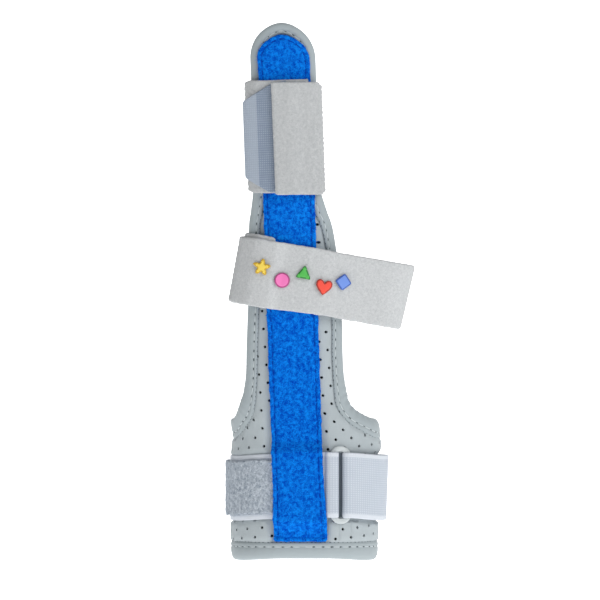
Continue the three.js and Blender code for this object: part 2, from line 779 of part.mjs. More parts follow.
// Height of the finger strap off its loop: over its own root and, at its end, over the hook tab
function fingerStrapRest(along) {
  const overRoot = 1 - smoothstep(along, FINGER_STRAP_ROOT + GAP, FINGER_STRAP_ROOT + GAP + PLY_RAMP);
  const tabEdge = FINGER_STRAP_END + TAB_TUCK + GAP;
  const overTab = 1 - smoothstep(along, tabEdge, tabEdge + PLY_RAMP);
  return overRoot * (FINGER_STRAP_THICKNESS + GAP) + overTab * (TAB_THICKNESS + GAP);
}

function makeFingerStrap() {
  const loop = fingerLoop();
  const half = FINGER_STRAP_WIDTH / 2;
  const end = loop.belt.girth + FINGER_STRAP_ROOT;
  return bentSheet(
    rectangle(FINGER_STRAP_END, end, -half, half),
    beltLines(loop.belt, FINGER_STRAP_END, end, 3),
    [-half, half],
    (along) => fingerStrapRest(along),
    (along) => fingerStrapRest(along) + FINGER_STRAP_THICKNESS,
    placeOn(loop),
  );
}

// Hook tab: a tongue with chamfered corners under the strap's end, lying on its first ply
function makeFingerStrapTab() {
  const loop = fingerLoop();
  const half = FINGER_STRAP_WIDTH / 2 - GAP;
  const tuck = FINGER_STRAP_END + TAB_TUCK;
  const outline = [
    new THREE.Vector2(tuck, -half),
    new THREE.Vector2(tuck, half),
    new THREE.Vector2(FINGER_STRAP_END, half),
    new THREE.Vector2(TAB_END, half - TAB_TOP_CHAMFER),
    new THREE.Vector2(TAB_END, TAB_LOW_CHAMFER - half),
    new THREE.Vector2(FINGER_STRAP_END - TAB_LOW_CHAMFER / 2, -half),
  ].reverse();
  const rest = FINGER_STRAP_THICKNESS + GAP;
  return bentSheet(
    outline,
    beltLines(loop.belt, TAB_END, tuck, 3),
    [-half, half],
    () => rest,
    () => rest + TAB_THICKNESS,
    placeOn(loop),
  );
}

// Loop of the hand strap round the panel and the palm
function handLoop() {
  const frame = strapFrame(HAND_STRAP_SIDE, HAND_STRAP_HEIGHT, HAND_STRAP_TILT);
  const reach = HAND_STRAP_WIDTH / 2 + HAND_STRAP_RIGHT * Math.sin(HAND_STRAP_TILT);
  const all = panelGuards(frame, HAND_STRAP_HEIGHT - reach / 2, HAND_STRAP_HEIGHT + reach, 0.6);
  const back = PANEL_DEPTH + GAP + PALM_DEPTH - CUFF_HALF_DEPTH;
  const outer = HAND_STRAP_RIGHT - HAND_STRAP_THICKNESS - PALM_OUTER_RADIUS;
  all.push({ centre: new THREE.Vector2(outer, back - PALM_OUTER_RADIUS), radius: PALM_OUTER_RADIUS });
  all.push({
    centre: new THREE.Vector2(PALM_INNER_RADIUS - PALM_INNER_REACH, back - PALM_INNER_RADIUS),
    radius: PALM_INNER_RADIUS,
  });
  return { frame, belt: beltRound(all) };
}

// Height of the hand strap off its loop: over its own first ply
function handStrapRest(along) {
  const over = 1 - smoothstep(along, HAND_STRAP_ROOT + GAP, HAND_STRAP_ROOT + GAP + PLY_RAMP);
  return over * (HAND_STRAP_THICKNESS + GAP);
}

function makeHandStrap() {
  const loop = handLoop();
  const half = HAND_STRAP_WIDTH / 2;
  const start = HAND_STRAP_ROOT - HAND_STRAP_TAIL;
  const end = loop.belt.girth + HAND_STRAP_ROOT;
  return bentSheet(
    rectangle(start, end, -half, half),
    beltLines(loop.belt, start, end, 5),
    [-half, half],
    (along) => handStrapRest(along),
    (along) => handStrapRest(along) + HAND_STRAP_THICKNESS,
    placeOn(loop),
  );
}

// Outline of a round shape whose radius follows its direction
function roundShape(radiusAt, count) {
  return Array.from({ length: count }, (_, i) => {
    const turn = (i / count) * 2 * Math.PI;
    const radius = radiusAt(turn) * BADGE_SIZE / 2;
    return new THREE.Vector2(radius * Math.sin(turn), radius * Math.cos(turn));
  }).reverse();
}

// Outline of a regular shape with straight sides
function straightShape(sides, scale) {
  const angle = (i) => (i / sides) * 2 * Math.PI;
  return Array.from({ length: sides }, (_, i) => new THREE.Vector2(
    Math.sin(angle(i)) * scale * BADGE_SIZE / 2,
    Math.cos(angle(i)) * scale * BADGE_SIZE / 2,
  )).reverse();
}

// Outline of a heart from two round tops and a point
function heartShape() {
  const path = new THREE.Path();
  const size = BADGE_SIZE / 2;
  path.moveTo(0, -size);
  path.bezierCurveTo(size * 0.5, -size * 0.55, size * 1.05, -size * 0.1, size, size * 0.4);
  path.bezierCurveTo(size * 0.95, size * 0.95, size * 0.25, size * 1.05, 0, size * 0.45);
  path.bezierCurveTo(-size * 0.25, size * 1.05, -size * 0.95, size * 0.95, -size, size * 0.4);
  path.bezierCurveTo(-size * 1.05, -size * 0.1, -size * 0.5, -size * 0.55, 0, -size);
  return path.getPoints(6).slice(0, -1);
}

const BADGE_SHAPES = {
  badge_star: () => roundShape((turn) => 0.8 + 0.24 * Math.cos(5 * turn), 30),
  badge_disc: () => roundShape(() => 0.92, 20),
  badge_triangle: () => straightShape(3, 1.12),
  badge_heart: heartShape,
  badge_diamond: () => straightShape(4, 1.08),
};

// One raised motif, bent with the strap that it sits on
function makeBadge({ name, across, up }) {
  const loop = handLoop();
  const middle = new THREE.Vector2(across * BADGE_SIZE, up * BADGE_SIZE);
  const outline = BADGE_SHAPES[name]().map((point) => point.add(middle));
  const left = Math.min(...outline.map((point) => point.x));
  const right = Math.max(...outline.map((point) => point.x));
  const rest = (along) => handStrapRest(along) + HAND_STRAP_THICKNESS + GAP;
  return bentSheet(
    outline,
    beltLines(loop.belt, left, right, 2.2),
    [-HAND_STRAP_WIDTH, HAND_STRAP_WIDTH],
    rest,
    (along) => rest(along) + BADGE_THICKNESS,
    placeOn(loop),
  );
}

// Named sub-part with its finish
function piece(name, geometry, { color, roughness }) {
  const mesh = new THREE.Mesh(geometry, new THREE.MeshStandardMaterial({ color, roughness, metalness: 0 }));
  mesh.name = name;
  return mesh;
}

const group = new THREE.Group();
group.add(
  piece('foam_core', makeFoamCore(), FINISH.core),
  piece('panel_face', makePanelFace(), FINISH.face),
  piece('edge_binding', makeEdgeBinding(), FINISH.tape),
  piece('spine_strip', makeSpineStrip(), FINISH.strip),
  piece('wrist_strap', makeWristStrap(), FINISH.webbing),
  piece('wrist_strap_pile', makeWristStrapPile(), FINISH.pile),
  piece('strap_ring', makeStrapRing(), FINISH.ring),
  piece('finger_strap', makeFingerStrap(), FINISH.plush),
  piece('finger_strap_tab', makeFingerStrapTab(), FINISH.tab),
  piece('hand_strap', makeHandStrap(), FINISH.plush),
);
for (const badge of BADGES) {
  group.add(piece(badge.name, makeBadge(badge), { color: badge.color, roughness: 0.45 }));
}

export default group;
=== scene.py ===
import logging
import math
from collections.abc import Callable
from dataclasses import dataclass, field
from enum import Enum

import bpy
import numpy as np
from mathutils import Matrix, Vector, geometry


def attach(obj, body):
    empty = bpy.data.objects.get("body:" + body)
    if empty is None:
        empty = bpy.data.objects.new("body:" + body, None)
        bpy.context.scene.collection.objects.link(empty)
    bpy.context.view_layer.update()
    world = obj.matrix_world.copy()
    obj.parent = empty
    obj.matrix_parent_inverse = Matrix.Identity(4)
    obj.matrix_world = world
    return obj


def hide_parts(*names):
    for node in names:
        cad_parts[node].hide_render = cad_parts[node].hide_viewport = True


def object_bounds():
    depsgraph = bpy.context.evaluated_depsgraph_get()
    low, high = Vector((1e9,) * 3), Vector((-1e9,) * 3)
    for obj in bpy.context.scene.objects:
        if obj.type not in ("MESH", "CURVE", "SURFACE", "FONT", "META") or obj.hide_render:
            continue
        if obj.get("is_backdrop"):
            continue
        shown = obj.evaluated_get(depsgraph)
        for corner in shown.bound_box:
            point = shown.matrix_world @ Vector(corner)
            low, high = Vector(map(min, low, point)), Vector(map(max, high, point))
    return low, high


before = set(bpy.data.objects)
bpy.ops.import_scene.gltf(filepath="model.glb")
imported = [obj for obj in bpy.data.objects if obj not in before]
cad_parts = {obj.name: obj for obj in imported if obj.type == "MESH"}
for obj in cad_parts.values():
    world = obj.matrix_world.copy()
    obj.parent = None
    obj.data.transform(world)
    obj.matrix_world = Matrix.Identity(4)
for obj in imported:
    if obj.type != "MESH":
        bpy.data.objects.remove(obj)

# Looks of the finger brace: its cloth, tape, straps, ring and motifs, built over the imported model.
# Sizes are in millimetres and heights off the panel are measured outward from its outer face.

CAD_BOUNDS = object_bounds()
LOG = logging.getLogger("finger_brace")
MM = 0.001
TINY = 1e-9
# Space left between two layers
GAP = 0.3
# Bands that a wave texture draws in one unit at a scale of 1
WAVE_BANDS = 3.183
# Strength of every relief; its depth is each finish's own
RELIEF = 0.7
# Points of a rounded corner, sides of a punched hole, of a stitch and of the ring's bar
CORNER_POINTS = 7
HOLE_SIDES = 10
THREAD_SIDES = 6
BAR_SIDES = 12
# Height of a row of even triangles as a share of their side
ROW_SHARE = 0.87
# Sockets of a mix node that mixes colours: the share, both colours and the result
MIX_SHARE, MIX_LOW, MIX_HIGH, MIX_RESULT = 0, 6, 7, 2
# Angles in degrees above which an edge stays sharp: on cut cloth, threads, folds or mouldings, and pile
CUT_CREASE, THREAD_CREASE, FOLD_CREASE, PILE_CREASE = 35, 50, 60, 80
# Distance between the mesh's points on a strap
STRAP_STEP = 1.2

Array = np.ndarray
Rest = Callable[[Array, Array], Array | float]
Place = Callable[[Array, Array, Array], Array]
Spot = Callable[[Array, Array], Array]
# Faces by the numbers of their corners
Faces = list[tuple[int, ...]]
# Pairs of an inset and a share, or of a height and a reach
Table = tuple[tuple[float, float], ...]
Span = tuple[float, float]
HARD_EDGE: Table = ((0.0, 1.0), (0.3, 1.0))
SOFT_EDGE: Table = ((0.0, 0.2), (0.08, 0.55), (0.25, 0.82), (0.5, 0.95), (0.85, 1.0))
SEWN_EDGE: Table = (
    (0.0, 0.25), (0.08, 0.6), (0.25, 0.85), (0.6, 1.0), (1.15, 1.0), (1.6, 0.3), (2.1, 0.95), (2.6, 1.0),
)
PLY_EDGE: Table = ((0.0, 0.5), (0.1, 0.85), (0.3, 1.0))
PUFFED_EDGE: Table = ((0.0, 0.3), (0.12, 0.6), (0.3, 0.85), (0.55, 0.8), (0.8, 0.95), (1.2, 1.0))


def smoothstep(value: Array, low: float, high: float) -> Array:
    """Returns a smooth change from 0 at low to 1 at high."""
    share = np.clip((np.asarray(value, float) - low) / (high - low), 0, 1)
    return share * share * (3 - 2 * share)


def window(value: Array, start: float, full: float, fade: float, end: float) -> Array:
    """Returns a smooth window that opens from start to full and closes from fade to end."""
    return smoothstep(value, start, full) * (1 - smoothstep(value, fade, end))


def lerp(start: Array, end: Array, share: Array) -> Array:
    """Returns the value that lies at a share of the way from start to end."""
    return start + (end - start) * share


def bell(value: Array, middle: float, reach: float) -> Array:
    """Returns a bell curve that is 1 at its middle."""
    return np.exp(-(((np.asarray(value, float) - middle) / reach) ** 2))


def from_table(z: Array, table: Table) -> Array:
    """Returns the values that a table gives at heights."""
    return np.interp(z, *zip(*table))


def steps(low: float, high: float, longest: float) -> Array:
    """Returns values from low to high in equal steps of at most the given length."""
    return np.linspace(low, high, max(1, math.ceil((high - low) / longest)) + 1)


def linear(colour: str) -> tuple[float, float, float, float]:
    """Turns an sRGB hex colour to linear.

    Args:
        colour: The colour as six hex digits.

    Returns:
        Red, green, blue and an alpha of 1.
    """
    parts = (int(colour[i:i + 2], 16) / 255 for i in (0, 2, 4))
    return (*(p / 12.92 if p <= 0.04045 else ((p + 0.055) / 1.055) ** 2.4 for p in parts), 1.0)


class Slot(Enum):
    """Material slots of the record."""

    FOAM = "foam"
    PANEL = "panel_cloth"
    TAPE = "binding_tape"
    BLUE = "blue_loop"
    WEBBING = "webbing"
    PILE = "grey_pile"
    PLASTIC = "clear_plastic"
    PLUSH = "plush"
    HOOK = "hook_tape"
    YELLOW = "badge_yellow"
    PINK = "badge_pink"
    GREEN = "badge_green"
    RED = "badge_red"
    SKY = "badge_blue"


# Node trees of the finishes

def add_node(
    tree: bpy.types.NodeTree,
    kind: str,
    settings: dict[str, object] | None = None,
    inputs: dict[str | int, object] | None = None,
) -> bpy.types.Node:
    """Adds a node, sets its values and joins its inputs.

    Args:
        tree: The node tree that takes the node.
        kind: The node's type.
        settings: Values of the node's own settings.
        inputs: Values or output sockets for its inputs, by name or number.

    Returns:
        The new node.
    """
    node = tree.nodes.new(kind)
    for name, value in (settings or {}).items():
        setattr(node, name, value)
    for name, value in (inputs or {}).items():
        if isinstance(value, bpy.types.NodeSocket):
            tree.links.new(value, node.inputs[name])
        else:
            node.inputs[name].default_value = value
    return node


@dataclass(frozen=True)
class Finish:
    """Common ground of the finishes: a name, two tones and how the surface takes light."""

    name: str
    low: str
    high: str
    roughness: float = 0.8
    specular: float = 0.2

    def start(self) -> tuple[bpy.types.Material, bpy.types.NodeTree, bpy.types.Node]:
        """Starts the material.

        Returns:
            The material, its node tree and its surface node.
        """
        material = bpy.data.materials.new(self.name)
        material.use_nodes = True
        tree = material.node_tree
        surface = tree.nodes["Principled BSDF"]
        surface.inputs["Roughness"].default_value = self.roughness
        surface.inputs["Specular IOR Level"].default_value = self.specular
        return material, tree, surface

    def places(self, tree: bpy.types.NodeTree) -> bpy.types.NodeSocket:
        """Gives the place on the body in millimetres, for patterns that follow no thread.

        Args:
            tree: The node tree.

        Returns:
            The place.
        """
        where = add_node(tree, "ShaderNodeTexCoord").outputs["Object"]
        scale = (1 / MM, 1 / MM, 1 / MM)
        return add_node(tree, "ShaderNodeMapping", inputs={"Vector": where, "Scale": scale}).outputs[0]

    def cut(self, tree: bpy.types.NodeTree) -> bpy.types.NodeSocket:
        """Returns the place on the cut cloth in millimetres, for patterns that follow the threads."""
        return add_node(tree, "ShaderNodeTexCoord").outputs["UV"]

    def finished(
        self,
        parts: tuple[bpy.types.Material, bpy.types.NodeTree, bpy.types.Node],
        colour: bpy.types.NodeSocket,
        height: bpy.types.NodeSocket,
        depth: float,
    ) -> bpy.types.Material:
        """Joins the colour and the relief to the surface.

        Args:
            parts: The material, its node tree and its surface node.
            colour: The colour.
            height: The relief, from 0 to 1.
            depth: Depth of the relief.

        Returns:
            The material.
        """
        material, tree, surface = parts
        tree.links.new(colour, surface.inputs["Base Color"])
        relief = {"Strength": RELIEF, "Distance": depth * MM, "Height": height}
        bump = add_node(tree, "ShaderNodeBump", inputs=relief)
        tree.links.new(bump.outputs[0], surface.inputs["Normal"])
        return material

    def noise(
        self, tree: bpy.types.NodeTree, size: float, detail: float, roughness: float = 0.5, bend: float = 0.0
    ) -> bpy.types.NodeSocket:
        """Adds a noise that follows the body.

        Args:
            tree: The node tree.
            size: Size of its blots in millimetres.
            detail: How many finer layers it has.
            roughness: How strong the finer layers are.
            bend: How much it is distorted.

        Returns:
            The noise, from 0 to 1.
        """
        return add_node(tree, "ShaderNodeTexNoise", inputs={
            "Vector": self.places(tree), "Scale": 1 / size, "Detail": detail, "Roughness": roughness,
            "Distortion": bend,
        }).outputs["Fac"]

    def toned(self, tree: bpy.types.NodeTree, share: bpy.types.NodeSocket) -> bpy.types.NodeSocket:
        """Returns the colour between the low and the high tone at a share."""
        tones = {MIX_SHARE: share, MIX_LOW: linear(self.low), MIX_HIGH: linear(self.high)}
        return add_node(tree, "ShaderNodeMix", {"data_type": "RGBA"}, tones).outputs[MIX_RESULT]


@dataclass(frozen=True)
class Pile(Finish):
    """Brushed loop pile: tangled fibres lean together in tufts, so light and dark tufts mottle it."""

    tuft: float = 1.6
    fibre: float = 0.4
    depth: float = 0.3
    spread: float = 0.12
    fine: float = 0.4

    def material(self) -> bpy.types.Material:
        """Makes the material of the pile, its tufts mixed with finer fibres.

        Returns:
            The material.
        """
        parts = self.start()
        tree = parts[1]
        tufts = self.noise(tree, self.tuft, detail=4.0, roughness=0.7, bend=0.25)
        # Real fibres are 0.02 mm thick, too fine for the picture, so their grain is drawn coarser
        fibres = self.noise(tree, self.fibre, detail=2.0, roughness=0.65, bend=0.5)
        both = add_node(tree, "ShaderNodeMix", inputs={0: self.fine, 2: tufts, 3: fibres})
        tone = add_node(tree, "ShaderNodeMapRange", inputs={
            "Value": both.outputs[0], "From Min": 0.5 - self.spread, "From Max": 0.5 + self.spread,
        })
        return self.finished(parts, self.toned(tree, tone.outputs[0]), both.outputs[0], self.depth)


@dataclass(frozen=True)
class Weave(Finish):
    """Woven or knitted polyester: threads across and along, each a ridge, and a second tone beyond a band:
    the webbing's plain closer selvedge, and painted light on the hook tab's turned end.
    """

    across: float = 0.6
    along: float = 0.6
    depth: float = 0.08
    contrast: float = 0.7
    mottle: float = 6.0
    rows: float = 0.0
    selvedge_and_lit_end: str = ""
    selvedge_and_lit_end_share: float = 1.0
    selvedge_and_lit_end_blend: float = 0.2
    band_axis: str = "X"
    band_middle: float = 0.0
    band_half: float = 0.0

    def material(self) -> bpy.types.Material:
        """Makes the material of the cloth, two rows of ridges that cross.

        Returns:
            The material.
        """
        parts = self.start()
        tree = parts[1]
        cut = self.cut(tree)
        # Real threads lie 0.3 mm apart, too fine for the picture, so their weave is drawn coarser
        ridges = [
            add_node(tree, "ShaderNodeTexWave", {"bands_direction": axis}, {
                "Vector": cut, "Scale": 1 / pitch / WAVE_BANDS, "Distortion": 0.3, "Detail": 1.0,
            }).outputs["Fac"]
            for axis, pitch in (("X", self.across), ("Y", self.along))
        ]
        picks = add_node(tree, "ShaderNodeMapRange", inputs={"Value": ridges[0], "To Min": self.rows})
        crossed = {0: picks.outputs[0], 1: ridges[1]}
        woven = add_node(tree, "ShaderNodeMath", {"operation": "MULTIPLY"}, crossed)
        soft = self.noise(tree, self.mottle, detail=3.0)
        share = add_node(tree, "ShaderNodeMix", inputs={0: self.contrast, 2: soft, 3: woven.outputs[0]})
        colour = self.toned(tree, share.outputs[0])
        if self.selvedge_and_lit_end:
            colour = self.edged(tree, cut, colour)
        return self.finished(parts, colour, woven.outputs[0], self.depth)

    def edged(
        self, tree: bpy.types.NodeTree, cut: bpy.types.NodeSocket, colour: bpy.types.NodeSocket
    ) -> bpy.types.NodeSocket:
        """Adds the second tone outside the band of open weave: the webbing's selvedge, and painted light on
        the hook tab's turned end.

        Args:
            tree: The node tree.
            cut: The place on the cut cloth.
            colour: The colour of the band.

        Returns:
            The colour of the cloth with its second tone.
        """
        split = add_node(tree, "ShaderNodeSeparateXYZ", inputs={0: cut})
        off = add_node(tree, "ShaderNodeMath", {"operation": "SUBTRACT"}, {
            0: split.outputs[self.band_axis], 1: self.band_middle,
        })
        far = add_node(tree, "ShaderNodeMath", {"operation": "ABSOLUTE"}, {0: off.outputs[0]})
        edge = add_node(tree, "ShaderNodeMapRange", inputs={
            "Value": far.outputs[0], "From Min": self.band_half - self.selvedge_and_lit_end_blend,
            "From Max": self.band_half + self.selvedge_and_lit_end_blend, "To Max": self.selvedge_and_lit_end_share,
        })
        tones = {MIX_SHARE: edge.outputs[0], MIX_LOW: colour, MIX_HIGH: linear(self.selvedge_and_lit_end)}
        return add_node(tree, "ShaderNodeMix", {"data_type": "RGBA"}, tones).outputs[MIX_RESULT]


@dataclass(frozen=True)
class Smooth(Finish):
    """Moulded plastic or rubber, or a close satin tape: fine grain and faint clouding."""

    grain: float = 0.5
    depth: float = 0.02
    cloud: float = 9.0
    through: float = 0.0

    def material(self) -> bpy.types.Material:
        """Makes the material of the moulded or close surface.

        Returns:
            The material.
        """
        parts = self.start()
        tree, surface = parts[1:]
        surface.inputs["Transmission Weight"].default_value = self.through
        colour = self.toned(tree, self.noise(tree, self.cloud, detail=3.0))
        return self.finished(parts, colour, self.noise(tree, self.grain, detail=2.0), self.depth)


# Mesh making

@dataclass
class Shape:
    """Corners in millimetres, faces, each corner's place on the cut cloth and each face's finish."""

    points: Array
    faces: Faces
    cut: Array
    looks: list[int] = field(default_factory=list)

    def joined(self, other: "Shape") -> "Shape":
        """Joins another shape to this one.

        Args:
            other: The other shape.

        Returns:
            Both as one shape.
        """
        shift = len(self.points)
        moved = [tuple(i + shift for i in face) for face in other.faces]
        looks = (self.looks or [0] * len(self.faces)) + (other.looks or [0] * len(other.faces))
        points, cut = np.vstack([self.points, other.points]), np.vstack([self.cut, other.cut])
        return Shape(points, self.faces + moved, cut, looks)


def make_piece(
    name: str,
    shape: Shape,
    finishes: list[Finish],
    slot: Slot,
    replaced: tuple[str, ...] = (),
    crease: float = FOLD_CREASE,
) -> bpy.types.Object:
    """Makes an object that rides on the brace.

    Args:
        name: The piece's name.
        shape: Its corners and faces.
        finishes: Its finishes, by the numbers in the shape's looks.
        slot: The record's slot; not used.
        replaced: The CAD nodes that it stands for.
        crease: The angle in degrees above which an edge stays sharp.

    Returns:
        The new object.
    """
    mesh = bpy.data.meshes.new(name)
    mesh.from_pydata((shape.points * MM).tolist(), [], shape.faces)
    corners = np.zeros(len(mesh.loops), int)
    mesh.loops.foreach_get("vertex_index", corners)
    mesh.uv_layers.new(name="cut").data.foreach_set("uv", shape.cut[corners].astype(np.float32).ravel())
    for finish in finishes:
        mesh.materials.append(finish.material())
    if shape.looks:
        mesh.polygons.foreach_set("material_index", shape.looks)
    mesh.shade_smooth()
    mesh.set_sharp_from_angle(angle=math.radians(crease))
    piece = bpy.data.objects.new(name, mesh)
    bpy.context.scene.collection.objects.link(piece)
    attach(piece, "root")
    if replaced:
        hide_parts(*replaced)
    LOG.info("%s: %d faces", name, len(mesh.polygons))
    return piece


def densify(outline: Array, longest: float) -> Array:
    """Adds points to a closed outline so that none of its sides is longer than a length.

    Args:
        outline: The outline.
        longest: The length.

    Returns:
        The outline with its new points.
    """
    parts = []
    for start, end in zip(outline, np.roll(outline, -1, axis=0)):
        count = max(1, math.ceil(np.linalg.norm(end - start) / longest))
        parts.append(lerp(start, end, np.arange(count)[:, None] / count))
    return np.vstack(parts)


def bend(start: Array, middle: Array, end: Array, t: Array | float) -> Array:
    """Returns points of the curve from start to end whose both ends aim at the middle."""
    return (1 - t) ** 2 * start + 2 * t * (1 - t) * middle + t * t * end


def rounded(corners: list[tuple[float, float]], radii: list[float]) -> Array:
    """Rounds the corners of a polygon.

    Args:
        corners: The polygon's corners, going round to the left of travel.
        radii: How far each corner's rounding reaches along its sides.

    Returns:
        The points of the rounded outline.
    """
    points = np.array(corners, float)
    made = []
    for i, radius in enumerate(radii):
        here, before, after = points[i], points[i - 1], points[(i + 1) % len(points)]
        start = here + (before - here) / np.linalg.norm(before - here) * radius
        end = here + (after - here) / np.linalg.norm(after - here) * radius
        made += [bend(start, here, end, t) for t in np.linspace(0, 1, CORNER_POINTS if radius else 1)]
    return np.array(made)


def frayed(outline: Array, step: float, depth: float, seed: int) -> Array:
    """Gives a cut edge small uneven waves.

    Args:
        outline: The closed outline.
        step: Distance between the waves' points.
        depth: Spread of the waves.
        seed: Seed of the random draws.

    Returns:
        The uneven outline.
    """
    points = densify(outline, step)
    waves = np.random.default_rng(seed).normal(0, depth, len(points))
    waves = (waves + np.roll(waves, 1)) / 2
    return points + inward_at(points) * waves[:, None]


def unit(vectors: Array) -> Array:
    """Returns rows of vectors, each scaled to a length of 1."""
    return vectors / np.maximum(np.linalg.norm(vectors, axis=1, keepdims=True), TINY)


def square_to(vectors: Array) -> Array:
    """Returns rows of flat vectors, each turned a quarter to its left."""
    return np.column_stack([-vectors[:, 1], vectors[:, 0]])


def inward_at(outline: Array) -> Array:
    """Returns the directions into a closed outline at its points."""
    return square_to(unit(np.roll(outline, -1, axis=0) - np.roll(outline, 1, axis=0)))


def runs_of(line: Array) -> Array:
    """Returns the way run along a line at each of its points."""
    return np.concatenate([[0], np.cumsum(np.linalg.norm(np.diff(line, axis=0), axis=1))])


def links_of(start: int, count: int, closed: bool) -> list[tuple[int, int]]:
    """Returns the links between following points, and from the last to the first in a closed row."""
    return [(start + i, start + (i + 1) % count) for i in range(count if closed else count - 1)]


def tube_faces(rings: int, sides: int, closed: bool) -> Faces:
    """Joins rings of points by four-sided faces.

    Args:
        rings: Number of rings.
        sides: Number of points in each ring.
        closed: Whether the last ring is joined to the first; otherwise both ends are capped.

    Returns:
        The faces, by the numbers of their points.
    """
    faces = []
    for i in range(rings if closed else rings - 1):
        here, ahead = i * sides, (i + 1) % rings * sides
        faces += [
            (here + k, here + (k + 1) % sides, ahead + (k + 1) % sides, ahead + k) for k in range(sides)
        ]
    if not closed:
        last = (rings - 1) * sides
        faces += [tuple(range(sides))[::-1], tuple(range(last, last + sides))]
    return faces


def inside(points: Array, outline: Array) -> Array:
    """Finds which points lie in a closed outline.

    Args:
        points: The points.
        outline: The outline.

    Returns:
        Whether each point lies inside.
    """
    found = np.zeros(len(points), bool)
    for (x1, y1), (x2, y2) in zip(outline, np.roll(outline, -1, axis=0)):
        if y1 != y2:
            crosses = (y1 > points[:, 1]) != (y2 > points[:, 1])
            found ^= crosses & (points[:, 0] < (x2 - x1) * (points[:, 1] - y1) / (y2 - y1) + x1)
    return found


def distance_to(points: Array, outline: Array) -> Array:
    """Measures how far points lie from a closed outline.

    Args:
        points: The points.
        outline: The outline.

    Returns:
        Each point's least distance.
    """
    best = np.full(len(points), np.inf)
    for start, end in zip(outline, np.roll(outline, -1, axis=0)):
        along = end - start
        length = float(along @ along)
        if length:
            share = np.clip((points - start) @ along / length, 0, 1)
            best = np.minimum(best, np.linalg.norm(start + share[:, None] * along - points, axis=1))
    return best


@dataclass
class Patch:
    """Closed layer of cloth over a flat outline, bent into place.

    Its rings give the insets from the edge and the share of the thickness that the cloth has there. Its
    lines are folds or seams that the mesh follows, and its relief is the height of its face over them.
    """

    outline: Array
    spacing: float
    thickness: float
    rest: Rest
    place: Place
    rings: Table = SOFT_EDGE
    relief: Rest | None = None
    lines: tuple[Array, ...] = ()
    holes: Array = field(default_factory=lambda: np.zeros((0, 2)))
    hole_radius: float = 0.5
    edge_look: float = 0.0
    edge_clear: float = 0.45
    hole_clear: float = 0.3
    line_clear: float = 0.3

    def flat_mesh(self) -> tuple[Array, Array, Array, Array, list[tuple[int, int, int]]]:
        """Cuts the flat cloth to triangles.

        Returns:
            The flat points, their insets, their shares of the thickness, the hole each one is on or -1,
            and the triangles.
        """
        outline = densify(self.outline, self.spacing)
        count, inward, far = len(outline), inward_at(outline), self.rings[-1][0]
        turns = np.arange(HOLE_SIDES) / HOLE_SIDES * math.tau
        circle = np.column_stack([np.cos(turns), np.sin(turns)]) * self.hole_radius
        rows, owners, links, start = [], [], [], 0
        for row, owner, closed in (
            *((outline + inward * inset, -1, True) for inset, _ in self.rings),
            *((line, -1, False) for line in self.lines),
            *((middle + circle, number, True) for number, middle in enumerate(self.holes)),
        ):
            rows.append(row)
            owners.append(np.full(len(row), owner))
            links += links_of(start, len(row), closed)
            start += len(row)
        grid = self.grid(outline + inward * (far + self.spacing * self.edge_clear), outline)
        points = np.vstack([*rows, grid])
        rest = len(points) - count * len(self.rings)
        near, part = ([np.full(count, pair[k]) for pair in self.rings] for k in (0, 1))
        insets = np.concatenate([*near, np.full(rest, far + 1.0)])
        shares = np.concatenate([*part, np.ones(rest)])
        owner = np.concatenate([*owners, np.full(len(grid), -1)])
        made = geometry.delaunay_2d_cdt([Vector(p) for p in points], links, [], 1, 1e-6)
        flat = np.array([tuple(v) for v in made[0]])
        source = np.array([s[0] if s else len(points) - 1 for s in made[3]])
        insets, shares, owner = insets[source], shares[source], owner[source]
        triangles = [
            (a, b, c) for a, b, c in made[2] if owner[a] < 0 or not owner[a] == owner[b] == owner[c]
        ]
        return flat, insets, shares, owner, triangles

    def grid(self, inner: Array, outline: Array) -> Array:
        """Spreads staggered points over the patch, clear of its edge, its lines and its holes.

        Args:
            inner: The outline that the points stay inside of.
            outline: The patch's own outline.

        Returns:
            The points.
        """
        low, high = outline.min(0), outline.max(0)
        rows = np.arange(low[1], high[1], self.spacing * ROW_SHARE)
        found = np.array([
            (x + j % 2 * self.spacing / 2, y)
            for j, y in enumerate(rows) for x in np.arange(low[0], high[0], self.spacing)
        ])
        found = found[inside(found, inner)]
        hole_clear = self.hole_radius + self.spacing * self.hole_clear
        for spots, clear in ((self.holes, hole_clear), *((line, self.line_clear) for line in self.lines)):
            if len(spots):
                near = np.min(np.linalg.norm(found[:, None] - spots[None], axis=2), axis=1)
                found = found[near > clear]
        return found

    def shape(self) -> Shape:
        """Makes the closed shape of the cloth: both faces and the walls between them.

        Returns:
            The shape.
        """
        flat, insets, shares, owner, triangles = self.flat_mesh()
        x, y = flat.T
        middle = self.rest(x, y) + self.thickness / 2
        half = shares * self.thickness / 2
        raised = self.relief(x, y) if self.relief else 0
        sides = [self.place(x, y, middle - half), self.place(x, y, middle + half + raised)]
        size = len(flat)
        faces, looks, edges = [], [], set()
        for a, b, c in triangles:
            u, v = flat[b] - flat[a], flat[c] - flat[a]
            if u[0] * v[1] - u[1] * v[0] < 0:
                b, c = c, b
            faces += [(a, c, b), (a + size, b + size, c + size)]
            looks += [int(max(insets[a], insets[b], insets[c]) <= self.edge_look)] * 2
            edges |= {(a, b), (b, c), (c, a)}
        for start, end in sorted(edges):
            if (end, start) not in edges:
                faces.append((start, end, end + size, start + size))
                looks.append(int(self.edge_look > 0 and owner[start] < 0))
        return Shape(np.vstack(sides), faces, np.vstack([flat, flat]), looks)


